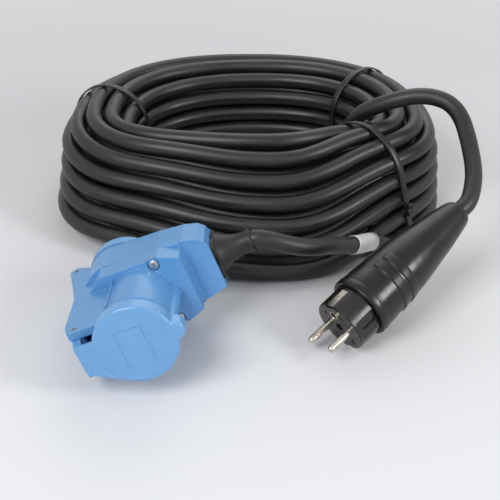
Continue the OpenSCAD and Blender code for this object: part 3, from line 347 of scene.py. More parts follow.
def make_mesh(
    name: str,
    corners: np.ndarray,
    faces: Sequence[Sequence[int]],
    material: Material,
    smooth: bool = True,
) -> Piece:
    """Make a mesh piece whose object sits at the origin.

    Args:
        name: the piece's name.
        corners: its points in the part's frame, in mm.
        faces: point numbers of each face, turning left seen from outside.
        material: its finish.
        smooth: whether its faces shade as one skin.

    Returns:
        The new object, linked to the scene.
    """
    data = bpy.data.meshes.new(name)
    data.from_pydata((np.asarray(corners) * MM).tolist(), [], [list(f) for f in faces])
    data.validate()
    data.polygons.foreach_set("use_smooth", [smooth] * len(data.polygons))
    data.materials.append(material)
    return placed(name, data)


def plain_mesh(piece: Piece) -> Piece:
    """Turn a piece with modifiers into the plain mesh that they make.

    Args:
        piece: the object whose modifiers are carried out and removed.

    Returns:
        The same object, with its final mesh.
    """
    bpy.context.view_layer.update()
    graph = bpy.context.evaluated_depsgraph_get()
    baked = bpy.data.meshes.new_from_object(piece.evaluated_get(graph))
    piece.modifiers.clear()
    old, piece.data = piece.data, baked
    bpy.data.meshes.remove(old)
    baked.name = piece.name
    return piece


def run_group(piece: Piece, tree: Tree, values: dict[str, Any]) -> Piece:
    """Let a geometry node group remake a piece.

    Args:
        piece: the object that it starts from.
        tree: the group.
        values: its inputs by name, which are set before it first runs.

    Returns:
        The same object, with the plain mesh that the group makes.
    """
    modifier = piece.modifiers.new(tree.name, "NODES")
    modifier.node_group = tree
    for item in tree.interface.items_tree:
        if item.name in values:
            modifier[item.identifier] = values[item.name]
    return plain_mesh(piece)


def softened(piece: Piece, width_mm: float, segments: int) -> Piece:
    """Round the edges of a piece.

    Args:
        piece: the object.
        width_mm: how wide the rounding is.
        segments: how many steps it has.

    Returns:
        The same object, with its final mesh.
    """
    soft = piece.modifiers.new("soft", "BEVEL")
    soft.width, soft.segments = width_mm * MM, segments
    return plain_mesh(piece)


def joined(name: str, pieces: Sequence[Piece]) -> Piece:
    """Join pieces into one object.

    Args:
        name: the name of the result.
        pieces: the objects, of which the first takes the rest in.

    Returns:
        The joined object.
    """
    with bpy.context.temp_override(
        active_object=pieces[0],
        selected_editable_objects=list(pieces),
        selected_objects=list(pieces),
    ):
        bpy.ops.object.join()
    pieces[0].name = pieces[0].data.name = name
    return pieces[0]


def ring_grid(rows: int, around: int, close_rows: bool = False) -> list[list[int]]:
    """Make the faces between rows of points that each run once round.

    Args:
        rows: how many rings of points there are.
        around: how many points each ring has.
        close_rows: whether the last ring joins the first.

    Returns:
        Quads that join each ring to the next.
    """
    faces = []
    for i in range(rows if close_rows else rows - 1):
        here, there = i * around, (i + 1) % rows * around
        for k in range(around):
            n = (k + 1) % around
            faces.append([here + k, here + n, there + n, there + k])
    return faces


def capped_grid(rows: int, around: int) -> list[list[int]]:
    """Make the faces between rows of points, and a face over each end.

    Args:
        rows: how many rings of points there are.
        around: how many points each ring has.

    Returns:
        Quads that join each ring to the next, and the two ends.
    """
    last = rows * around
    return ring_grid(rows, around) + [list(range(around))[::-1], list(range(last - around, last))]


def turned_skin(
    seat: Seat,
    profile: Sequence[Flat],
    around: int,
    swell: Callable[[np.ndarray, float], np.ndarray] | None = None,
) -> tuple[np.ndarray, list[list[int]]]:
    """Make the points and faces of a shape turned about the seat's Z axis.

    Args:
        seat: where the axis lies.
        profile: radius and height of each ring, round the cross-section and closed.
        around: points in each ring.
        swell: what to add to the radius, from the ring's angles and its height.

    Returns:
        The points in the part's frame, in mm, and the faces.
    """
    angles = np.linspace(0, 2 * math.pi, around, endpoint=False)
    frame = np.array(seat.matrix())
    rings = []
    for radius, height in profile:
        r = radius + (swell(angles, height) if swell else 0.0)
        local = np.stack([r * np.cos(angles), r * np.sin(angles), np.full(around, height)], 1)
        rings.append(local @ frame[:3, :3].T + frame[:3, 3] / MM)
    return np.concatenate(rings), ring_grid(len(profile), around, close_rows=True)


def smooth_curve(points: Sequence[Sequence[float]], step: float) -> np.ndarray:
    """Run a centripetal curve through points.

    Args:
        points: the points that the curve passes, in mm.
        step: rough distance between the points of the result, in mm.

    Returns:
        The points of the curve, ends included.
    """

    def between(t: float, t0: float, t1: float, p0: np.ndarray, p1: np.ndarray) -> np.ndarray:
        """The point at t of a line that is at p0 at t0 and at p1 at t1."""
        return (t1 - t) / (t1 - t0) * p0 + (t - t0) / (t1 - t0) * p1

    p = np.asarray(points, float)
    p = np.concatenate([[2 * p[0] - p[1]], p, [2 * p[-1] - p[-2]]])
    out = []
    for i in range(1, len(p) - 2):
        spans = np.linalg.norm(np.diff(p[i - 1 : i + 3], axis=0), axis=1) ** 0.5
        knots = np.concatenate([[0.0], np.cumsum(spans)])
        count = max(2, round(float(np.linalg.norm(p[i + 1] - p[i])) / step))
        for t in np.linspace(knots[1], knots[2], count, endpoint=False):
            a = [between(t, knots[k], knots[k + 1], p[i + k - 1], p[i + k]) for k in range(3)]
            b = [between(t, knots[k], knots[k + 2], a[k], a[k + 1]) for k in range(2)]
            out.append(between(t, knots[1], knots[2], b[0], b[1]))
    out.append(p[-2])
    return np.array(out)


def ease(x: float, low: float = 0.0, high: float = 1.0) -> float:
    """Step smoothly from 0 to 1.

    Args:
        x: where the step is looked at.
        low: where it starts.
        high: where it ends.

    Returns:
        The height of the step there.
    """
    x = min(1.0, max(0.0, (x - low) / (high - low)))
    return x * x * (3 - 2 * x)


def blend(first: np.ndarray, last: np.ndarray, share: float) -> np.ndarray:
    """The place that lies a share of the way from the first to the last."""
    return (1 - share) * first + share * last


def unit(v: np.ndarray) -> np.ndarray:
    """The direction of a vector."""
    return v / np.linalg.norm(v)


# ---------- Finishes ----------
@dataclass(frozen=True)
class MouldedPlastic:
    """Moulded plastic: one even colour with faint clouding, and edges painted paler, partly as wear
    and partly as painted highlight.
    """

    name: str
    colour: str
    shade: str
    worn_and_highlit: str
    roughness: float = 0.3
    grain: Grain = Grain.SATIN
    edge_mm: float = 0.7
    wear_and_highlight: float = 0.45
    coat: float = 0.15
    cloud_mm: float = 35.71
    rub_mm: float = 4.167
    flow_mm: Point = (33.33, 33.33, 3.846)

    def build(self) -> Material:
        """Make its clouding, flow marks, paler edges (wear and painted highlight) and skin.

        Returns:
            The material.
        """
        material, shader, _ = blank_material(self.name)
        tree = material.node_tree
        place = add(tree, "ShaderNodeTexCoord").outputs["Object"]
        clouds = add(tree, "ShaderNodeTexNoise",
                     {"Vector": place, "Scale": waves(self.cloud_mm), "Detail": 4.0})
        drawn = add(tree, "ShaderNodeMapping",
                    {"Vector": place, "Scale": [waves(size) for size in self.flow_mm]})
        flow = add(tree, "ShaderNodeTexNoise",
                   {"Vector": drawn, "Scale": 1.0, "Detail": 3.0, "Roughness": 0.6})
        mould = add(tree, "ShaderNodeMix", {0: 0.3, 2: clouds, 3: flow})
        base = patched(tree, mould, (0.36, 0.66), self.colour, self.shade)
        # Rounded edges catch the light through the bevelled normal, and their colour is painted paler:
        # partly rubbed wear, partly painted highlight
        rounded = add(tree, "ShaderNodeBevel", {"Radius": self.edge_mm * MM}, samples=10)
        true = add(tree, "ShaderNodeNewGeometry").outputs["Normal"]
        turn = add(tree, "ShaderNodeVectorMath", {0: rounded, 1: true}, operation="DOT_PRODUCT")
        edge = add(tree, "ShaderNodeMapRange",
                   {"Value": turn.outputs["Value"], "From Min": 0.97, "From Max": 0.8,
                    "To Max": self.wear_and_highlight})
        rub = add(tree, "ShaderNodeTexNoise",
                  {"Vector": place, "Scale": waves(self.rub_mm), "Detail": 3.0})
        wear_and_highlight_mask = add(tree, "ShaderNodeMath", {0: edge, 1: rub}, operation="MULTIPLY")
        # Painted highlight and wear: the edge mask lays the paler colour along the edges
        worn_and_highlit = add(tree, "ShaderNodeMix", {0: wear_and_highlight_mask, 6: base, 7: linear(self.worn_and_highlit)},
                   data_type="RGBA")
        gloss = add(tree, "ShaderNodeMapRange",
                    {"Value": rub, "From Min": 0.3, "From Max": 0.7,
                     "To Min": self.roughness - 0.05, "To Max": self.roughness + 0.08})
        soft = add(tree, "ShaderNodeBump",
                   {"Height": clouds, "Normal": rounded, "Strength": 0.4, "Distance": 0.2 * MM})
        width, depth = self.grain.value
        skin = grained(tree, place, width, 2.0, depth, 0.35, soft)
        feed(shader, {"Base Color": worn_and_highlit.outputs[2], "Roughness": gloss, "Normal": skin,
                      "IOR": 1.5, "Coat Weight": self.coat, "Coat Roughness": 0.12})
        return material


@dataclass(frozen=True)
class MouldedRubber:
    """Moulded rubber: matt to satin, with bloom in patches, specks of dust and a fine skin."""

    name: str
    colour: str
    bloom: str
    roughness: float = 0.5
    bump_mm: float = 0.02
    edge_mm: float = 0.4
    sheen: float = 0.35
    dust: str = "#7C7A74"
    bloom_mm: float = 22.22
    dust_mm: float = 3.846
    skin_mm: float = 0.7143

    def build(self) -> Material:
        """Make its bloom, dust and skin.

        Returns:
            The material.
        """
        material, shader, _ = blank_material(self.name)
        tree = material.node_tree
        place = add(tree, "ShaderNodeTexCoord").outputs["Object"]
        patches = add(tree, "ShaderNodeTexNoise",
                      {"Vector": place, "Scale": waves(self.bloom_mm), "Detail": 5.0,
                       "Roughness": 0.6})
        base = patched(tree, patches, (0.42, 0.72), self.colour, self.bloom)
        gloss = add(tree, "ShaderNodeMapRange",
                    {"Value": patches, "From Min": 0.35, "From Max": 0.7,
                     "To Min": self.roughness - 0.06, "To Max": self.roughness + 0.1})
        rounded = add(tree, "ShaderNodeBevel", {"Radius": self.edge_mm * MM}, samples=6)
        feed(shader, {
            "Base Color": dusted(tree, place, base, self.dust_mm, (0.11, 0.03), 0.25, self.dust),
            "Roughness": gloss,
            "Normal": grained(tree, place, self.skin_mm, 3.0, self.bump_mm, 0.5, rounded),
            "Specular IOR Level": self.sheen,
        })
        return material


@dataclass(frozen=True)
class CableSheath:
    """Extruded rubber sheath: dull black, with drag lines along it and scuffed patches.

    Sizes of lines and scuffs are their width round the cable and their length along it.
    """

    name: str
    colour: str = "#161615"
    scuffed: str = "#282725"
    dust: str = "#83807A"
    roughness: float = 0.41
    sheen: float = 0.5
    drag_mm: Flat = (1.0, 62.5)
    scuff_mm: Flat = (5.0, 35.71)
    dust_mm: float = 6.667
    skin_mm: float = 0.9091

    def build(self) -> Material:
        """Make it from the two attributes that the sweep leaves on the mesh.

        Returns:
            The material.
        """
        material, shader, _ = blank_material(self.name)
        tree = material.node_tree
        along = add(tree, "ShaderNodeAttribute", attribute_name=ALONG).outputs["Fac"]
        ring = add(tree, "ShaderNodeAttribute", attribute_name=RING).outputs["Vector"]
        apart = add(tree, "ShaderNodeSeparateXYZ", {0: ring}).outputs
        rolled = add(tree, "ShaderNodeCombineXYZ", {"X": apart["X"], "Y": apart["Y"], "Z": along})
        # The place round the cable runs on a circle of radius 1, which stands for CORD_R
        marks = []
        for (width, length), detail, rough in ((self.drag_mm, 3.0, 0.5), (self.scuff_mm, 6.0, 0.65)):
            scale = (CORD_R / width, CORD_R / width, waves(length))
            drawn = add(tree, "ShaderNodeMapping", {"Vector": rolled, "Scale": scale})
            marks.append(add(tree, "ShaderNodeTexNoise",
                             {"Vector": drawn, "Scale": 1.0, "Detail": detail, "Roughness": rough}))
        drag, rubbed = marks
        base = patched(tree, rubbed, (0.45, 0.75), self.colour, self.scuffed)
        gloss = add(tree, "ShaderNodeMapRange",
                    {"Value": rubbed, "From Min": 0.35, "From Max": 0.7,
                     "To Min": self.roughness - 0.07, "To Max": self.roughness + 0.1})
        lines = add(tree, "ShaderNodeBump", {"Height": drag, "Strength": 0.4, "Distance": 0.12 * MM})
        place = add(tree, "ShaderNodeTexCoord").outputs["Object"]
        feed(shader, {
            "Base Color": dusted(tree, place, base, self.dust_mm, (0.1, 0.03), 0.35, self.dust),
            "Roughness": gloss,
            "Normal": grained(tree, place, self.skin_mm, 2.0, 0.03, 0.5, lines),
            "Specular IOR Level": self.sheen,
        })
        return material


@dataclass(frozen=True)
class PlatedMetal:
    """Turned or pressed metal, plated: faint tool lines, cloudy plating, dull handled spots."""

    name: str
    colour: str
    tarnish: str
    roughness: float = 0.25
    edge_mm: float = 0.25
    cloud_mm: float = 5.882
    tool_mm: Point = (0.5556, 16.67, 5.0)

    def build(self) -> Material:
        """Make its tool lines and tarnish.

        Returns:
            The material.
        """
        material, shader, _ = blank_material(self.name)
        tree = material.node_tree
        place = add(tree, "ShaderNodeTexCoord").outputs["Object"]
        clouds = add(tree, "ShaderNodeTexNoise",
                     {"Vector": place, "Scale": waves(self.cloud_mm), "Detail": 5.0})
        gloss = add(tree, "ShaderNodeMapRange",
                    {"Value": clouds, "From Min": 0.3, "From Max": 0.75,
                     "To Min": self.roughness - 0.06, "To Max": self.roughness + 0.14})
        drawn = add(tree, "ShaderNodeMapping",
                    {"Vector": place, "Scale": [waves(size) for size in self.tool_mm]})
        tool = add(tree, "ShaderNodeTexNoise", {"Vector": drawn, "Scale": 1.0, "Detail": 2.0})
        rounded = add(tree, "ShaderNodeBevel", {"Radius": self.edge_mm * MM}, samples=4)
        lines = add(tree, "ShaderNodeBump",
                    {"Height": tool, "Normal": rounded, "Strength": 0.4, "Distance": 0.01 * MM})
        feed(shader, {
            "Base Color": patched(tree, clouds, (0.45, 0.8), self.colour, self.tarnish),
            "Roughness": gloss, "Normal": lines, "Metallic": 1.0,
        })
        return material


@dataclass(frozen=True)
class MarkerFilm:
    """White polyester marker film: even, slightly soiled, under a clear glossy wrap."""

    name: str
    colour: str = "#E7E8E5"
    soiled: str = "#CFD0CB"
    soil_mm: float = 3.333

    def build(self) -> Material:
        """Make its soiling and its clear wrap.

        Returns:
            The material.
        """
        material, shader, _ = blank_material(self.name)
        tree = material.node_tree
        place = add(tree, "ShaderNodeTexCoord").outputs["Object"]
        soil = add(tree, "ShaderNodeTexNoise",
                   {"Vector": place, "Scale": waves(self.soil_mm), "Detail": 5.0})
        wrap = add(tree, "ShaderNodeBump", {"Height": soil, "Strength": 0.3, "Distance": 0.06 * MM})
        feed(shader, {"Base Color": patched(tree, soil, (0.5, 0.8), self.colour, self.soiled),
                      "Normal": wrap, "Roughness": 0.4, "Coat Weight": 0.5, "Coat Roughness": 0.1})
        return material


@dataclass(frozen=True)
class StripedInsulation:
    """Core insulation in two colours, in even stripes."""

    name: str
    colour: str
    stripe: str
    pitch_mm: float = 3.0

    def build(self) -> Material:
        """Make its stripes.

        Returns:
            The material.
        """
        material, shader, _ = blank_material(self.name)
        tree = material.node_tree
        place = add(tree, "ShaderNodeTexCoord").outputs["Object"]
        # A wave texture of scale 1 has 20 waves in a metre
        wave = add(tree, "ShaderNodeTexWave",
                   {"Vector": place, "Scale": waves(self.pitch_mm) / 20, "Distortion": 0.6})
        base = patched(tree, wave.outputs["Fac"], (0.47, 0.53), self.colour, self.stripe)
        feed(shader, {"Base Color": base, "Roughness": 0.45})
        return material


# ---------- The cable ----------
@dataclass(frozen=True)
class Bell:
    """A smooth bell over the angles round the coil, in degrees."""

    middle: float
    spread: float

    def at(self, t: float) -> float:
        """Its height at an angle, 1 at most."""
        return math.exp(-((((t - self.middle + 900) % 360 - 180) / self.spread) ** 2))


@dataclass(frozen=True)
class CoilWall:
    """A cross-section of the coil: its crown's radius, its top and its outer wall's lean."""

    crown: float
    top: float
    lean: float

    def outline(self, s: float, floor: float, run: float) -> np.ndarray:
        """Find a point of the outline.

        Args:
            s: share of the way, 0 at the outer foot and 1 at the inner foot.
            floor: height of a cable that lies on the floor.
            run: length that lies flat on the floor in front of the wall.

        Returns:
            Distance from the hole, and height.
        """
        a = math.radians(self.lean)
        centre = self.top - self.crown
        wall = (centre + self.crown * math.sin(a) - floor) / math.cos(a)
        arc = self.crown * (math.pi - a)
        u = s * (run + wall + arc + centre - floor) - run
        foot = self.crown * (1 + math.cos(a)) + wall * math.sin(a)
        if u < 0:
            return np.array([foot - u, floor])
        if u < wall:
            return np.array([foot - u * math.sin(a), floor + u * math.cos(a)])
        if u < wall + arc:
            t = a + (u - wall) / self.crown
            return np.array([self.crown * (1 + math.cos(t)), centre + self.crown * math.sin(t)])
        return np.array([0.0, centre - (u - wall - arc)])


@dataclass
class CoilShape:
    """The tied coil: its cross-sections, from outer foot over crown to inner foot, and its oval.

    The cross-section at the coil's front turns into that of its sides, more sharply to the
    right than to the left. A column of hidden turns is the distance of its foot from the
    hole, and how far out and up its top lies from there.
    """

    at: Flat = (56.7, 191.2)
    row_z: float = 7.6
    side: CoilWall = CoilWall(24.0, 76.5, 5.0)
    front: CoilWall = CoilWall(14.0, 79.0, 38.0)
    front_run: float = 21.0
    front_powers: Flat = (2.6, 1.2)
    side_column: Point = (26.5, -3.0, 45.0)
    front_column: Point = (39.0, -24.0, 50.0)
    hole_half_w: float = 91.0
    hole_front: float = 44.0
    hole_back: float = 72.0
    squareness: float = 2.3
    # A tie draws the turns in, and the rear lid needs room to swing
    pinch: Bell = Bell(-48.0, 24.0)
    pinch_depth: float = 9.0
    lid_room: Bell = Bell(-122.0, 21.0)
    lid_run_gap: Bell = Bell(-122.0, 36.0)
    lid_room_depth: float = 8.5
    lid_room_top: float = 65.0
    # Share of the outline, and degrees round the coil, over which directions are taken
    slope_share: float = 0.004
    slope_angle: float = 2.0

    def frontness(self, t: float) -> float:
        """How far the shape at an angle is that of the coil's front."""
        c, s = math.cos(math.radians(t)), math.sin(math.radians(t))
        return max(0.0, -s) ** self.front_powers[0 if c > 0 else 1]

    def bundle(self, s: float, t: float) -> np.ndarray:
        """Find the cable's place on the outer layer.

        Args:
            s: share of the way over the outline.
            t: angle round the coil, in degrees.

        Returns:
            Distance from the hole, and height.
        """
        w = self.frontness(t)
        run = self.front_run * w * w * (1 - self.lid_run_gap.at(t))
        side, front = self.side.outline(s, self.row_z, 0), self.front.outline(s, self.row_z, run)
        return blend(side, front, w)

    def skin(self, s: float, t: float, off: float) -> np.ndarray:
        """Find a place beside the outer layer.

        Args:
            s: share of the way over the outline.
            t: angle round the coil, in degrees.
            off: how far out it lies.

        Returns:
            Distance from the hole, and height.
        """
        d = self.bundle(min(1, s + self.slope_share), t) - self.bundle(max(0, s - self.slope_share), t)
        return self.bundle(s, t) + off / float(np.linalg.norm(d)) * np.array([d[1], -d[0]])

    def middle(self, v: float, t: float) -> np.ndarray:
        """Find a place in the column between the two inner walls.

        Args:
            v: how far up it lies, 0 at the floor and 1 under the crown.
            t: angle round the coil, in degrees.

        Returns:
            Distance from the hole, and height.
        """
        places = [np.array([foot + v * out, self.row_z + v * up])
                  for foot, out, up in (self.side_column, self.front_column)]
        return blend(*places, self.frontness(t))

    def bow(self, c: float) -> float:
        """The cosine or sine of an angle, squared up a little."""
        return math.copysign(abs(c) ** (2 / self.squareness), c)

    def around(self, t: float, place: np.ndarray) -> np.ndarray:
        """Carry a place of the cross-section to its angle round the coil.

        Args:
            t: the angle, in degrees.
            place: distance from the hole, and height.

        Returns:
            The point in the part's frame, in mm.
        """
        c, s = self.bow(math.cos(math.radians(t))), self.bow(math.sin(math.radians(t)))
        drawn = self.pinch_depth * self.pinch.at(t)
        low = max(0.0, 1 - (place[1] - self.row_z) / self.lid_room_top)
        room = self.lid_room_depth * self.lid_room.at(t) * low
        deep = self.hole_front if s < 0 else self.hole_back
        a = math.radians(self.pinch.middle)
        x = self.at[0] + (self.hole_half_w + place[0]) * c - drawn * math.cos(a)
        y = self.at[1] + (deep + place[0]) * s - drawn * math.sin(a) + room
        return np.array([x, y, place[1]])

    def cable_run(self, s: float, t: float) -> np.ndarray:
        """Find the level direction of the cable on the outer layer.

        Args:
            s: share of the way over the outline.
            t: angle round the coil, in degrees.

        Returns:
            The direction.
        """
        ahead, behind = t + self.slope_angle, t - self.slope_angle
        d = self.around(ahead, self.bundle(s, ahead)) - self.around(behind, self.bundle(s, behind))
        return unit(np.array([d[0], d[1], 0.0]))


@dataclass
class ShoreCable:
    """The whole cable as one sheath: lead, outer turns, hidden inner turns, arch to the plug.

    Angles are degrees wound since the coil's start. At the dive the cable goes under the
    outer layer, and at the surface its last visible turn comes out again.
    """

    coil: CoilShape
    diameter: float = 2 * CORD_R
    length_m: float = 20.0
    start_angle: float = -43.0
    whole_angle: float = 4260.0
    dive: Flat = (3850.0, 3930.0)
    surface: Flat = (3930.0, 4010.0)
    turn_step: float = 3.75
    # The second layer runs back over the outline, then the cable rises to the middle column
    # and at its top drops to the foot
    second_layer_turns: float = 8.5
    second_inset: float = 11.9
    second_from: float = 0.87
    second_reach: float = 0.72
    rise_angle: float = 60.0
    middle_turns: float = 6.4
    fall_angle: float = 150.0
    foot_gap: float = 0.4
    hidden_step: float = 5.0
    # Hand-wound turns wander a little, but not near the two ends of the coil
    wander: float = 0.35
    wander_lift: float = 0.4
    wander_waves: Flat = (2.3, 0.37)
    wander_phase: float = 40.0
    wander_free: float = 200.0
    # The straight ends at the boot and at the hood, in diameters
    boot_straight: float = 0.35
    hood_straight: float = 0.9
    evening: int = 12
    point_gap: float = 3.0
    sides: int = 18
    lead: tuple[Point, ...] = (
        (77.0, 33.7, 57.4), (90.7, 37.5, 51.8), (99.7, 43.6, 48.0), (108.5, 52.4, 43.6),
        (117.5, 61.7, 38.0), (126.1, 71.7, 31.2), (132.6, 78.9, 27.4), (142.2, 87.8, 25.0),
        (147.2, 92.4, 22.5), (152.9, 95.4, 16.0), (157.0, 102.0, 10.3),
    )
    arch: tuple[Point, ...] = (
        (62.7, 151.2, 8.0), (78.7, 158.2, 9.0), (92.7, 167.2, 12.0), (103.7, 175.2, 19.0),
        (112.7, 181.2, 30.0), (119.7, 184.2, 43.0), (125.7, 184.7, 56.0), (132.7, 181.4, 69.0),
        (139.7, 176.8, 81.0), (151.7, 170.9, 90.5), (164.2, 166.7, 97.0), (176.7, 163.7, 101.0),
        (188.2, 160.4, 102.0), (197.7, 155.9, 100.5), (203.7, 149.9, 97.5), (207.7, 141.4, 92.8),
        (209.9, 130.4, 86.5), (211.2, 117.9, 79.5), (211.4, 106.2, 73.3), (209.8, 94.6, 68.0),
    )
    boot_x: float = 73.0
    cable_z: float = -30.5
    hood_end: float = 118.0
    path: np.ndarray = field(default_factory=lambda: np.zeros((0, 3)))

    def exit_point(self) -> np.ndarray:
        """Where the cable leaves the boot."""
        return COUPLER.point(self.boot_x, 0, self.cable_z)

    def turn_place(self, a: float) -> np.ndarray:
        """Find the cable's place on the outer layer.

        Args:
            a: the angle wound since the coil's start, in degrees.

        Returns:
            The point in the part's frame, in mm.
        """
        t = self.start_angle + a
        free = ease(a, 0, self.wander_free) * ease(self.whole_angle - a, 0, self.wander_free)
        slow, fast = self.wander_waves[1] * a + self.wander_phase, self.wander_waves[0] * t
        slip = self.wander * free * math.sin(math.radians(fast)) * math.sin(math.radians(slow))
        place = self.coil.bundle(a / self.whole_angle, t)
        return self.coil.around(t, place + np.array([slip, self.wander_lift * slip]))

    def foot(self) -> np.ndarray:
        """The hidden place beside the inner foot, as distance from the hole and height."""
        return np.array([self.second_inset + self.foot_gap, self.coil.row_z])

    def inner_turns(self) -> list[np.ndarray]:
        """Lay the turns that the outer layer hides.

        Returns:
            Points from the end of the dive to the start of the last visible turn.
        """
        coil, foot = self.coil, self.foot()
        a0 = self.dive[1]
        a1 = a0 + self.second_layer_turns * 360
        a2 = a1 + self.rise_angle
        a3 = a2 + self.middle_turns * 360
        a4 = a3 + self.fall_angle
        a5 = a4 + 360 - (a4 - self.surface[0]) % 360

        def second(a: float) -> np.ndarray:
            """Find a place in the second layer, which runs from inner wall to outer foot.

            Args:
                a: the angle wound since the coil's start, in degrees.

            Returns:
                Distance from the hole, and height.
            """
            s = self.second_from - self.second_reach * (a - a0) / (a1 - a0)
            place = coil.skin(s, self.start_angle + a, -self.second_inset)
            return np.array([place[0], max(place[1], coil.row_z)])

        def column(a: float) -> np.ndarray:
            """Place in the middle column, rising."""
            return coil.middle((a - a2) / (a3 - a2), self.start_angle + a)

        points = []
        a = a0
        while a < a5:
            if a < a1:
                place = second(a)
            elif a < a2:
                place = blend(second(a1), column(a2), ease(a, a1, a2))
            elif a < a3:
                place = column(a)
            else:
                place = blend(column(a3), foot, ease(a, a3, a4))
            points.append(coil.around(self.start_angle + a, place))
            a += self.hidden_step
        return points

    def route(self) -> np.ndarray:
        """Join the lead, the coil and the arch.

        Returns:
            The centreline from the boot to the plug's hood, in mm.
        """
        coil, step = self.coil, self.turn_step
        outer = [self.turn_place(a) for a in np.arange(0, self.dive[0], step)]
        for a in np.arange(*self.dive, step):
            t = self.start_angle + a
            inside = coil.around(t, coil.skin(self.second_from, t, -self.second_inset))
            outer.append(blend(self.turn_place(a), inside, ease(a, *self.dive)))
        last = []
        for a in np.arange(self.surface[0], self.whole_angle + 0.1, step):
            inside = coil.around(self.start_angle + a, self.foot())
            last.append(blend(inside, self.turn_place(a), ease(a, *self.surface)))
        d = self.diameter
        first_run, last_run = unit(outer[1] - outer[0]), unit(last[-1] - last[-2])
        first_run[2] = last_run[2] = 0
        start, along = self.exit_point(), COUPLER.direction(1, 0, 0)
        marks = [start, start + self.boot_straight * d * along, *self.lead,
                 outer[0] - d * first_run, outer[0]]
        lead = smooth_curve(marks, self.point_gap)
        # The rubber's own stiffness evens the lead's bends, but not its straight ends
        for _ in range(self.evening):
            lead[2:-4] = (lead[1:-5] + 2 * lead[2:-4] + lead[3:-3]) / 4
        hood, away = PLUG.point(0, 0, self.hood_end), PLUG.direction(0, 0, 1)
        marks = [last[-1], last[-1] + d * last_run, *self.arch,
                 hood + self.hood_straight * d * away, hood]
        arch = smooth_curve(marks, self.point_gap)
        return np.concatenate([lead[:-1], outer, self.inner_turns(), last, arch[1:]])

    def sweep_tree(self) -> Tree:
        """Make the geometry nodes that sweep a round sheath along an edge chain.

        Returns:
            The group.
        """
        kinds = {"Line": "Geometry", "Radius": "Float", "Sides": "Int", "Finish": "Material"}
        tree, group = node_group("sheath_sweep", kinds, "Sheath")
        given = group.outputs
        line = add(tree, "GeometryNodeMeshToCurve", {"Mesh": given["Line"]})
        length = add(tree, "GeometryNodeSplineParameter").outputs["Length"]
        marked = add(tree, "GeometryNodeStoreNamedAttribute",
                     {"Name": ALONG, "Geometry": line, "Value": length}, data_type="FLOAT")
        ring = add(tree, "GeometryNodeCurvePrimitiveCircle",
                   {"Resolution": given["Sides"], "Radius": given["Radius"]})
        here = add(tree, "GeometryNodeInputPosition")
        evened = add(tree, "ShaderNodeVectorMath", {0: here}, operation="NORMALIZE")
        ringed = add(tree, "GeometryNodeStoreNamedAttribute",
                     {"Name": RING, "Geometry": ring, "Value": evened}, data_type="FLOAT_VECTOR")
        swept = add(tree, "GeometryNodeCurveToMesh",
                    {"Curve": marked, "Profile Curve": ringed, "Fill Caps": True})
        soft = add(tree, "GeometryNodeSetShadeSmooth", {0: swept})
        return end_group(tree, soft, given["Finish"])

    def build(self, sheath: Material) -> Piece:
        """Sweep the sheath along the whole route.

        Args:
            sheath: the cable's finish.

        Returns:
            The cable, which stands for the CAD lead, coil and arch.
        """
        self.path = self.route()
        data = bpy.data.meshes.new("supply_cable")
        edges = [(i, i + 1) for i in range(len(self.path) - 1)]
        data.from_pydata((self.path * MM).tolist(), edges, [])
        sizes = {"Radius": self.diameter / 2 * MM, "Sides": self.sides, "Finish": sheath}
        piece = run_group(placed("supply_cable", data), self.sweep_tree(), sizes)
        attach(piece, CORD)
        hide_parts("lead_to_coupler", "coil_turns", "coil_core", "lead_to_plug")
        return piece


@dataclass
class MarkerSleeve:
    """The bare white marker sleeve round the lead, with its two ends cut a little askew."""

    cable: ShoreCable
    start_near: Point = (126.1, 71.7, 30.5)
    end_near: Point = (142.2, 87.8, 25.0)
    # The path's first points, among which the sleeve's two ends are looked for
    lead_points: int = 200
    lift: float = 0.35
    thickness: float = 0.25
    around: int = 48
    slant: float = 1.4

    def build(self, film: Material) -> Piece:
        """Wrap the film round the lead.

        Args:
            film: the marker's finish.

        Returns:
            The sleeve, which stands for the CAD label.
        """
        lead = self.cable.path[: self.lead_points]
        first, last = (int(np.argmin(np.linalg.norm(lead - np.array(near), axis=1)))
                       for near in (self.start_near, self.end_near))
        r = self.cable.diameter / 2 + self.lift
        corners = []
        for i in range(first, last + 1):
            run = unit(lead[i + 1] - lead[i - 1])
            side = unit(np.cross(run, [0, 0, 1.0]))
            up = np.cross(side, run)
            for k in range(self.around):
                a = 2 * math.pi * k / self.around
                # The two cut edges aren't quite square to the cable
                cut = self.slant * math.sin(a) if i in (first, last) else 0.0
                corners.append(lead[i] + r * (math.cos(a) * side + math.sin(a) * up) + cut * run)
        faces = [f[::-1] for f in ring_grid(last + 1 - first, self.around)]
        piece = make_mesh("cable_marker", np.array(corners), faces, film)
        wall = piece.modifiers.new("wall", "SOLIDIFY")
        wall.thickness, wall.offset = self.thickness * MM, 1.0
        plain_mesh(piece)
        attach(piece, CORD)
        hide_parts("cable_label")
        return piece


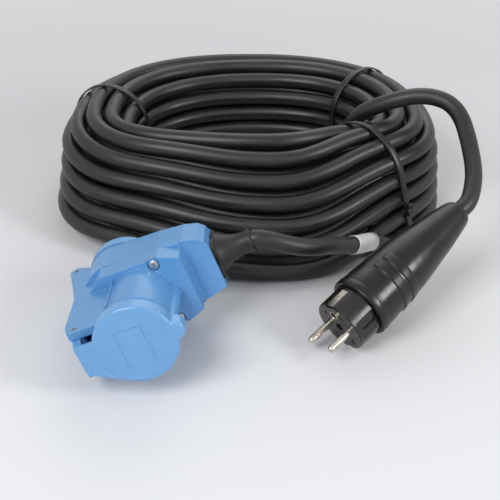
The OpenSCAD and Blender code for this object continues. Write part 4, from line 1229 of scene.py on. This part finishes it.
@dataclass
class CableTies:
    """Three nylon straps round the coil, each with its head, tail and teeth."""

    coil: CoilShape
    gap: float = 0.4
    thickness: float = 1.2
    width: float = 4.8
    angles: tuple[float, ...] = (-40.0, 40.0, 163.0)
    # Steps of a strap over the outline and round each of its two lower corners, and the
    # steps at which its head and its teeth lie
    over: int = 70
    bend: int = 6
    head_at: int = 8
    teeth_at: int = 11
    head: Point = (6.8, 5.6, 4.2)
    head_rings: tuple[Flat, ...] = ((0, 0.92), (0.25, 1), (0.8, 1), (1, 0.84))
    head_sink: float = 0.3
    head_soft: float = 0.35
    tail_share: float = 0.9
    tail_rise: float = 0.45
    tail_inset: float = 0.5
    tail_reach: Flat = (4.5, 1.6)
    tail_steps: int = 6
    tail_taper: float = 0.25
    tail_taper_from: float = 0.7
    tooth: Point = (3.0, 0.45, 0.5)
    tooth_pitch: float = 1.4
    tooth_sink: float = 0.1
    teeth: int = 9

    def loop(self, t: float, off: float) -> np.ndarray:
        """Lay the strap's line round the coil.

        Args:
            t: the tie's angle round the coil.
            off: distance of the line from the cable's centreline.

        Returns:
            Points once round, from the outer foot over the crown and back along the floor.
        """
        coil = self.coil
        points = [coil.around(t, coil.skin(i / self.over, t, off)) for i in range(self.over + 1)]
        d = coil.bundle(coil.slope_share, t) - coil.bundle(0, t)
        lean = math.degrees(math.atan2(-d[0], d[1]))
        inner = [180 + 90 * i / self.bend for i in range(1, self.bend + 1)]
        outer = [-90 + (lean + 90) * i / (self.bend + 1) for i in range(self.bend + 1)]
        for s, turns in ((1, inner), (0, outer)):
            for a in np.radians(turns):
                place = coil.bundle(s, t) + off * np.array([math.cos(a), math.sin(a)])
                points.append(coil.around(t, place))
        return np.array(points)

    def strap(self, t: float, nylon: Material) -> tuple[Piece, np.ndarray, np.ndarray]:
        """Make one strap, flat with rounded edges.

        Args:
            t: the tie's angle round the coil.
            nylon: the ties' finish.

        Returns:
            The strap, its outer line, and the direction across it at each point.
        """
        low = self.loop(t, CORD_R + self.gap)
        high = self.loop(t, CORD_R + self.gap + self.thickness)
        # Under the coil the strap lies along its inner foot first, then along its outer one
        inner_end = self.over + 1 + self.bend // 2
        shares = [min(1.0, i / self.over) if i < inner_end else 0.0 for i in range(len(low))]
        across = np.array([self.coil.cable_run(s, t) for s in shares])
        corners = [low[i] + h * (high[i] - low[i]) + w * self.width / 2 * across[i]
                   for i in range(len(low)) for w, h in STRAP_SECTION]
        faces = ring_grid(len(low), len(STRAP_SECTION), close_rows=True)
        return make_mesh("strap", np.array(corners), faces, nylon), high, across

    def head_block(self, line: np.ndarray, across: np.ndarray, nylon: Material) -> Piece:
        """Make the ratchet head and the cut tail that stands out of it.

        Args:
            line: the strap's outer line.
            across: direction across the strap at each point.
            nylon: the ties' finish.

        Returns:
            The head and tail as one piece.
        """
        i, q = self.head_at, across[self.head_at]
        run = unit(line[i + 1] - line[i - 1])
        out = unit(np.cross(q, run))
        mid = line[i] - self.head_sink * out
        w, h, d = self.head
        rows = [mid + grow * (a * w / 2 * q + b * h / 2 * run) + z * d * out
                for z, grow in self.head_rings for a, b in CUT_SQUARE]
        faces = capped_grid(len(self.head_rings), len(CUT_SQUARE))
        block = make_mesh("head", np.array(rows), faces, nylon, smooth=False)
        softened(block, self.head_soft, segments=2)
        start = mid + self.tail_rise * d * out + (h / 2 - self.tail_inset) * run
        tail = []
        for step in range(self.tail_steps + 1):
            f = step / self.tail_steps
            centre = start + f * (self.tail_reach[0] * run + self.tail_reach[1] * f * out)
            thin = max(0.0, f - self.tail_taper_from) / (1 - self.tail_taper_from)
            half = self.width / 2 * self.tail_share * (1 - self.tail_taper * thin)
            tail += [centre + a * half * q + b * self.thickness / 2 * out for a, b in SQUARE]
        faces = capped_grid(self.tail_steps + 1, len(SQUARE))
        strip = make_mesh("tail", np.array(tail), faces, nylon, smooth=False)
        return joined("head", [block, strip])

    def teeth_tree(self) -> Tree:
        """Make the geometry nodes that set a small tooth on every point of a line.

        Returns:
            The group.
        """
        kinds = {"Places": "Geometry", "Tooth size": "Vector", "Finish": "Material"}
        tree, group = node_group("tie_teeth", kinds, "Teeth")
        given = group.outputs
        tooth = add(tree, "GeometryNodeMeshCube", {"Size": given["Tooth size"]})
        across, out = (add(tree, "GeometryNodeInputNamedAttribute", {"Name": name},
                           data_type="FLOAT_VECTOR") for name in ("across", "out"))
        turned = add(tree, "FunctionNodeAxesToRotation",
                     {"Primary Axis": out, "Secondary Axis": across},
                     primary_axis="Z", secondary_axis="X")
        row = add(tree, "GeometryNodeInstanceOnPoints",
                  {"Points": given["Places"], "Instance": tooth, "Rotation": turned})
        return end_group(tree, row, given["Finish"])

    def teeth_of(self, line: np.ndarray, across: np.ndarray, tree: Tree, nylon: Material) -> Piece:
        """Make the row of teeth that shows on the strap above its head.

        Args:
            line: the strap's outer line.
            across: direction across the strap at each point.
            tree: the teeth's geometry nodes.
            nylon: the ties' finish.

        Returns:
            The teeth as one mesh.
        """
        i, q = self.teeth_at, across[self.teeth_at]
        run = unit(line[i + 1] - line[i - 1])
        out = unit(np.cross(q, run))
        places = [line[i] + k * self.tooth_pitch * run - self.tooth_sink * out
                  for k in range(self.teeth)]
        data = bpy.data.meshes.new("teeth")
        data.from_pydata([list(p * MM) for p in places], [], [])
        for name, v in (("across", q), ("out", out)):
            column = data.attributes.new(name, "FLOAT_VECTOR", "POINT")
            column.data.foreach_set("vector", list(v) * len(places))
        sizes = {"Tooth size": [c * MM for c in self.tooth], "Finish": nylon}
        return run_group(placed("teeth", data), tree, sizes)

    def build(self, nylon: Material) -> Piece:
        """Make the three ties as one piece.

        Args:
            nylon: the ties' finish.

        Returns:
            The ties, which stand for the CAD ties.
        """
        tree = self.teeth_tree()
        made: list[Piece] = []
        for t in self.angles:
            strap, line, across = self.strap(t, nylon)
            made += [strap, self.head_block(line, across, nylon),
                     self.teeth_of(line, across, tree, nylon)]
        piece = joined("coil_ties", made)
        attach(piece, CORD)
        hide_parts("cable_ties")
        return piece


# ---------- Boot and hood ----------
@dataclass
class StrainBoot:
    """The rubber boot at the coupler: a flange on the housing's end, then a flared neck."""

    chute_x: float = 48.0
    cable_z: float = -30.5
    length: float = 25.0
    flange_t: float = 2.5
    flange_low: float = 16.0
    flange_up: float = 12.0
    flange_h: float = 12.0
    flange_cut: float = 3.0
    flange_rim: float = 0.6
    flange_soft: float = 0.5
    bell_r: float = 11.8
    end_r: float = 7.6
    bore_r: float = 6.15
    # The neck flares over a share of its length, and thickens a little at its cable end
    waist: float = 0.5
    flare: float = 1.2
    flare_share: float = 0.8
    flare_power: float = 2.2
    bead: float = 0.45
    bead_from: float = 0.72
    # Small steps that round the rims, in radius and along the neck
    sink: float = 0.2
    bell_lip: Flat = (0.6, 0.5)
    bell_share: float = 0.7
    end_lip: float = 0.8
    end_rim: tuple[Flat, ...] = ((0.25, 0.3), (0.6, 0.0))
    bore_rim: float = 0.3
    rings: int = 24
    around: int = 64

    def neck(self, rubber: Material) -> Piece:
        """Make the neck, flared towards the flange.

        Args:
            rubber: the boot's finish.

        Returns:
            The neck.
        """
        turns = (*COUPLER.turns, ("Y", 90.0))
        seat = Seat(tuple(COUPLER.point(self.chute_x, 0, self.cable_z)), turns)
        t, e, n, bore = self.flange_t, self.end_r, self.length, self.bore_r
        outer = [(bore, self.sink), (self.bell_r + self.bell_lip[0], self.sink),
                 (self.bell_r + self.bell_lip[1], t * self.bell_share)]
        waist = e - self.waist
        for i in range(self.rings + 1):
            f = i / self.rings
            left = 1 - min(1.0, f / self.flare_share)
            flare = (self.bell_r + self.flare - waist) * left**self.flare_power
            bead = self.bead * ease(f, self.bead_from)
            outer.append((waist + flare + bead, t + (n - self.end_lip - t) * f))
        outer += [(e - across, n - along) for across, along in self.end_rim]
        outer += [(bore + self.bore_rim, n), (bore, n - self.bore_rim)]
        corners, faces = turned_skin(seat, outer, self.around)
        return make_mesh("neck", corners, faces, rubber)

    def flange(self, rubber: Material) -> Piece:
        """Make the flange, a plate with cut corners on the end of the housing.

        Args:
            rubber: the boot's finish.

        Returns:
            The flange.
        """
        low, up, h, cut = self.flange_low, self.flange_up, self.flange_h, self.flange_cut
        outline = [(-low, cut - h), (cut - low, -h), (up - cut, -h), (up, cut - h),
                   (up, h - cut), (up - cut, h), (cut - low, h), (-low, h - cut)]
        rim, corners = self.flange_rim, []
        for depth, inset in ((0.0, 0.0), (self.flange_t - rim, 0.0), (self.flange_t, rim)):
            for a, b in outline:
                y, z = a - math.copysign(inset, a), b - math.copysign(inset, b)
                corners.append(COUPLER.point(self.chute_x + depth, y, self.cable_z + z))
        faces = capped_grid(len(corners) // len(outline), len(outline))
        plate = make_mesh("flange", np.array(corners), faces, rubber, smooth=False)
        return softened(plate, self.flange_soft, segments=3)

    def build(self, rubber: Material) -> Piece:
        """Make the boot.

        Args:
            rubber: the boot's finish.

        Returns:
            The boot, which stands for the CAD boot.
        """
        piece = joined("strain_boot", [self.neck(rubber), self.flange(rubber)])
        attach(piece, CORD)
        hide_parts("cable_boot")
        return piece


@dataclass
class PlugHood:
    """The plug's rubber hood: collar, two grip bands part of the way round, long taper.

    The shoulder and the taper are heights and radii, over the collar's back and over the
    hood's front. A band is its height over the front and its width. A round is small steps
    in from the collar's radius and along from its end.
    """

    front: float = 18.0
    length: float = 100.0
    collar_r: float = 21.4
    collar_l: float = 6.0
    front_round: tuple[Flat, ...] = ((0.9, 0.0), (0.25, 0.25), (0.0, 0.9))
    back_round: tuple[Flat, ...] = ((0.0, 0.6), (0.2, 0.15), (0.55, 0.0))
    shoulder: tuple[Flat, ...] = ((0.3, 20.8), (1.2, 20.95))
    taper: tuple[Flat, ...] = (
        (12.0, 20.75), (18.0, 20.35), (25.0, 20.0), (33.0, 19.6), (41.0, 19.1), (48.0, 18.35),
        (56.0, 17.25), (64.0, 16.05), (72.0, 14.8), (80.0, 13.45), (88.0, 12.0), (94.0, 10.8),
        (97.5, 10.0), (99.2, 9.35),
    )
    end_r: float = 8.9
    bore_r: float = 17.1
    bore_l: float = 40.0
    cord_bore_r: float = 6.15
    cord_bore_l: float = 22.0
    cord_bore_rim: float = 0.4
    bands: tuple[Flat, ...] = ((21.5, 6.0), (30.0, 5.5))
    band_rise: tuple[float, ...] = (0.95, 0.9)
    band_from: float = 100.0
    band_sweep: float = 150.0
    band_ends: Flat = (1.5, 12.0)
    band_edge: float = 0.3
    band_fall: float = 0.55
    rings: int = 90
    band_rings: int = 22
    around: int = 240

    def profile(self) -> list[Flat]:
        """Lay the hood's cross-section.

        Returns:
            Radius and height of each ring, from the front bore out, back and in again.
        """
        z0, end, collar, edge = self.front, self.front + self.length, self.collar_r, self.band_edge
        rings = [(self.bore_r, z0)]
        rings += [(collar - across, z0 + along) for across, along in self.front_round]
        rings += [(collar - across, z0 + self.collar_l - along)
                  for across, along in self.back_round]
        body = [(self.collar_l + z, r) for z, r in self.shoulder] + list(self.taper)
        spans = [np.linspace(body[0][0], body[-1][0], self.rings)]
        spans += [np.linspace(z - edge, z + w + edge, self.band_rings) for z, w in self.bands]
        for z in np.unique(np.concatenate(spans)):
            r = float(np.interp(z, [b[0] for b in body], [b[1] for b in body]))
            rings.append((r, z0 + float(z)))
        cord, rim = self.cord_bore_r, self.cord_bore_rim
        rings += [(self.end_r, end), (cord + rim, end), (cord, end - rim),
                  (cord, end - self.cord_bore_l), (self.bore_r, z0 + self.bore_l)]
        return rings

    def swell(self, angles: np.ndarray, height: float) -> np.ndarray:
        """Raise the grip bands, which start with a small step and fade out.

        Args:
            angles: the ring's angles.
            height: the ring's height along the plug.

        Returns:
            What to add to the radius at each angle.
        """
        z, edge = height - self.front, self.band_edge
        grown = np.zeros(len(angles))
        turned = (np.degrees(angles) - self.band_from) % 360
        first, last = self.band_ends
        inside = np.clip(turned / first, 0, 1) * np.clip((self.band_sweep - turned) / last, 0, 1)
        for (low, wide), rise in zip(self.bands, self.band_rise):
            top = low + wide
            if low - edge <= z <= top + edge:
                shape = ease(z, low - edge, low + edge) * ease(-z, -top - edge, edge - top)
                # A band falls back towards the cable, so its front edge stands out most
                fall = 1 - self.band_fall * max(0.0, z - low) / wide
                grown += rise * shape * fall * inside
        return grown

    def build(self, rubber: Material) -> Piece:
        """Make the hood.

        Args:
            rubber: the hood's finish.

        Returns:
            The hood, which stands for the CAD hood.
        """
        corners, faces = turned_skin(PLUG, self.profile(), self.around, self.swell)
        piece = make_mesh("soft_hood", corners, faces, rubber)
        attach(piece, CORD)
        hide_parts("plug_hood")
        return piece


# ---------- Solids that stay as CAD made them ----------
@dataclass
class CadDress:
    """Which finish each CAD solid that stays in view takes."""

    groups: dict[str, tuple[str, ...]] = field(default_factory=lambda: {
        "shell": ("front_shell", "rear_shell"),
        "lid": ("front_lid", "rear_lid"),
        "insert": ("socket_insert", "outlet_insert", "coupler_cord_clamp"),
        "seal": ("housing_seal", "front_lid_seal", "rear_lid_seal"),
        "zinc": ("housing_screws", "socket_terminal_screws", "coupler_clamp_screws",
                 "plug_terminal_screws", "plug_clamp_screws"),
        "brass": ("socket_line_contact", "socket_neutral_contact", "socket_earth_contact",
                  "outlet_line_contact", "outlet_neutral_contact"),
        "nickel": ("outlet_earth_clip", "plug_pins", "plug_earth_bars", "plug_earth_socket"),
        "steel": ("front_hinge_pin", "front_lid_spring", "rear_hinge_pin", "rear_lid_spring"),
        "tail": ("coupler_cable_tail", "plug_cable_tail"),
        "brown": ("coupler_line_wires",),
        "blue": ("coupler_neutral_wires", "plug_wires"),
        "stripes": ("coupler_earth_wires",),
        "face": ("plug_insert", "plug_cord_clamp"),
    })

    def build(self, nodes: dict[str, Piece], finishes: dict[str, Material]) -> int:
        """Give each solid its finish.

        Args:
            nodes: the CAD solids by name.
            finishes: the finishes by name.

        Returns:
            How many solids were dressed.
        """
        for finish, names in self.groups.items():
            for name in names:
                solid = nodes[name]
                if not solid.material_slots:
                    solid.data.materials.append(finishes[finish])
                for place in solid.material_slots:
                    place.material = finishes[finish]
        return sum(len(names) for names in self.groups.values())


# ---------- Stage ----------
@dataclass
class Stage:
    """Pale floor, soft lamps and the camera.

    A lamp is its place, its side in metres and its power in watts.
    """

    aim: Point = (56.72, 114.21, 0.0)
    distance: float = 720.0
    elevation: float = 33.0
    sensor: float = 36.0
    # Focal length over the picture's width
    reach: float = 972 / 500
    floor_colour: str = "#E3E4E6"
    floor_cloud: str = "#DEDFE2"
    cloud_mm: float = 333.3
    floor_side: float = 9000.0
    lit_reach: Flat = (300.0, 950.0)
    sky: float = 0.36
    lamp_aim: float = 30.0
    lamps: tuple[tuple[Point, float, float], ...] = (
        ((-420.0, -560.0, 760.0), 0.5, 6.6),
        ((840.0, -330.0, 520.0), 0.3, 4.2),
        ((150.0, 1000.0, 900.0), 0.9, 3.4),
    )

    def camera(self) -> None:
        """Set the camera, which looks at the part from the front and above."""
        up = math.radians(self.elevation)
        data = bpy.data.cameras.new("view")
        data.lens, data.sensor_width = self.sensor * self.reach, self.sensor
        camera = placed("view", data)
        back = Vector((0, -self.distance * math.cos(up), self.distance * math.sin(up)))
        camera.location = (Vector(self.aim) + back) * MM
        camera.rotation_euler = (math.pi / 2 - up, 0, 0)
        bpy.context.scene.camera = camera

    def lamp(self, number: int, place: Point, size: float, power: float) -> None:
        """Hang a soft square lamp that faces the part.

        Args:
            number: its number, for its name.
            place: where it hangs, in mm.
            size: its side, in metres.
            power: its power, in watts.
        """
        data = bpy.data.lights.new(f"lamp_{number}", "AREA")
        data.shape, data.size, data.energy = "SQUARE", size, power
        lamp = placed(f"lamp_{number}", data)
        lamp.location = Vector(place) * MM
        towards = Vector((self.aim[0], self.aim[1], self.lamp_aim)) * MM - lamp.location
        lamp.rotation_euler = towards.to_track_quat("-Z", "Y").to_euler()

    def world(self) -> None:
        """Set even light from all round, with the floor's colour where it is looked at."""
        world = bpy.data.worlds.new("studio")
        bpy.context.scene.world = world
        world.use_nodes = True
        tree = world.node_tree
        tree.nodes.clear()
        clear = add(tree, "ShaderNodeLightPath").outputs["Is Transmission Ray"]
        seen = add(tree, "ShaderNodeMath", {0: seen_rays(tree), 1: clear}, operation="MAXIMUM")
        light = add(tree, "ShaderNodeBackground", {"Color": (1, 1, 1, 1), "Strength": self.sky})
        shown = add(tree, "ShaderNodeBackground",
                    {"Color": linear(self.floor_colour), "Strength": 1.0})
        mixed = add(tree, "ShaderNodeMixShader", {0: seen, 1: light, 2: shown})
        add(tree, "ShaderNodeOutputWorld", {0: mixed})

    def floor(self) -> None:
        """Lay the plain floor under the part."""
        material, shader, out = blank_material("floor_paint")
        tree = material.node_tree
        place = add(tree, "ShaderNodeTexCoord").outputs["Object"]
        cloud = add(tree, "ShaderNodeTexNoise",
                    {"Vector": place, "Scale": waves(self.cloud_mm), "Detail": 2.0})
        tint = patched(tree, cloud, (0.0, 1.0), self.floor_colour, self.floor_cloud)
        feed(shader, {"Base Color": tint, "Roughness": 0.9, "Specular IOR Level": 0.1})
        # Away from the part the floor keeps its own colour to the eye, past the lamps' reach
        offset = add(tree, "ShaderNodeVectorMath", {0: place, 1: [c * MM for c in self.aim]},
                     operation="SUBTRACT")
        away = add(tree, "ShaderNodeVectorMath", {0: offset}, operation="LENGTH")
        far = add(tree, "ShaderNodeMapRange",
                  {"Value": away.outputs["Value"], "From Min": self.lit_reach[0] * MM,
                   "From Max": self.lit_reach[1] * MM}, interpolation_type="SMOOTHSTEP")
        share = add(tree, "ShaderNodeMath", {0: far, 1: seen_rays(tree)}, operation="MULTIPLY")
        flat = add(tree, "ShaderNodeEmission",
                   {"Color": linear(self.floor_colour), "Strength": 1.0})
        feed(out, {"Surface": add(tree, "ShaderNodeMixShader", {0: share, 1: shader, 2: flat})})
        corners = self.floor_side * np.array([(a, b, 0) for a, b in SQUARE])
        make_mesh("floor", corners, [[0, 1, 2, 3]], material, smooth=False)

    def build(self) -> None:
        """Set the camera, the lamps, the world and the floor."""
        bpy.context.scene.view_settings.view_transform = "Standard"
        self.camera()
        for number, (place, size, power) in enumerate(self.lamps, 1):
            self.lamp(number, place, size, power)
        self.world()
        self.floor()


def make_finishes() -> dict[str, Material]:
    """Make every finish of the part.

    Returns:
        The materials by the names that the sub-assemblies use.
    """
    polished = Grain.POLISHED
    finishes = {
        # Moulded polyamide: glossy sky blue, its edges painted paler, partly as rubbed wear and partly
        # as painted highlight
        "shell": MouldedPlastic("blue_polyamide_shell", "#5E97CC", "#568FC6", "#A5C6E6"),
        # The same from a polished mould, with sharper reflections, and painted a little lighter for
        # the light that falls on its face
        "lid": MouldedPlastic("blue_polyamide_lid", "#6DA2D4", "#679CD0", "#AECBE8", 0.28,
                              polished, 0.35),
        # Painted shade: a deeper blue than the shell, so that the socket reads as a hollow; duller too
        "insert": MouldedPlastic("blue_polyamide_insert_painted_shade", "#3576B8", "#2E6CAE", "#6FA0D0", 0.38,
                                 edge_mm=0.4),
        # Pressed urea resin: hard black with clear highlights
        "face": MouldedPlastic("black_urea_plug_face", "#161515", "#111010", "#2B2A29", 0.24,
                               polished, 0.25),
        # Moulded rubber: deep black with a broad satin shine along the hood
        "hood": MouldedRubber("black_moulded_rubber_hood", "#0B0B0A", "#121111", 0.27, 0.008,
                              sheen=0.45),
        # Softer rubber: dark grey, half matt, dusty
        "boot": MouldedRubber("dark_moulded_rubber_boot", "#20201F", "#292826", 0.44),
        "seal": MouldedRubber("soft_black_seal_rubber", "#161616", "#1F1F1F", 0.7),
        # Extruded rubber: dull black with lines and scuffs along it
        "sheath": CableSheath("extruded_rubber_sheath"),
        "tail": MouldedRubber("rubber_sheath_inside", "#1A1A19", "#242322", 0.55),
        # Moulded nylon: black with small sharp highlights on its edges, partly painted there as a
        # paler colour
        "tie": MouldedPlastic("black_nylon_tie", "#161617", "#111112", "#434343", 0.36,
                              polished, 0.2, 0.3, 0.0),
        # Polyester film under a clear wrap: clean white, half glossy
        "film": MarkerFilm("white_marker_film"),
        # Bright bluish zinc, warm bright nickel, yellow bare brass and grey drawn spring steel
        "zinc": PlatedMetal("bright_zinc_screw", "#C6CACD", "#A5ABAF", 0.26),
        "nickel": PlatedMetal("bright_nickel_plate", "#CFC8BD", "#A89C8C", 0.2),
        "brass": PlatedMetal("turned_brass", "#C9A254", "#A5803C", 0.26),
        "steel": PlatedMetal("drawn_spring_steel", "#A9ABAD", "#85878A", 0.3),
        # Extruded core insulation: smooth, in the three colours of mains wires
        "brown": MouldedRubber("brown_core_insulation", "#6E3F22", "#784628", 0.45, 0.005, 0.1),
        "blue": MouldedRubber("blue_core_insulation", "#2565AE", "#2D6DB6", 0.45, 0.005, 0.1),
        "stripes": StripedInsulation("green_yellow_core_insulation", "#2F8A3C", "#D9C32C"),
    }
    return {name: finish.build() for name, finish in finishes.items()}


def main() -> None:
    """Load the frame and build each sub-assembly in order."""
    logging.basicConfig(level=logging.INFO, format="%(name)s: %(message)s")
    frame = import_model()
    Stage().build()
    LOG.info("stage set")
    finishes = make_finishes()
    coil = CoilShape()
    cable = ShoreCable(coil)
    sheath = cable.build(finishes["sheath"])
    steps = np.linalg.norm(np.diff(cable.path, axis=0), axis=1)
    LOG.info("cable %.2f m long in %d points", steps.sum() * MM, len(cable.path))
    marker = MarkerSleeve(cable).build(finishes["film"])
    LOG.info("marker sleeve built")
    ties = CableTies(coil).build(finishes["tie"])
    LOG.info("cable ties built")
    boot = StrainBoot().build(finishes["boot"])
    LOG.info("boot built")
    hood = PlugHood().build(finishes["hood"])
    LOG.info("hood built")
    dressed = CadDress().build(frame["nodes"], finishes)
    LOG.info("%d solids dressed", dressed)


if __name__ == "__main__":
    main()
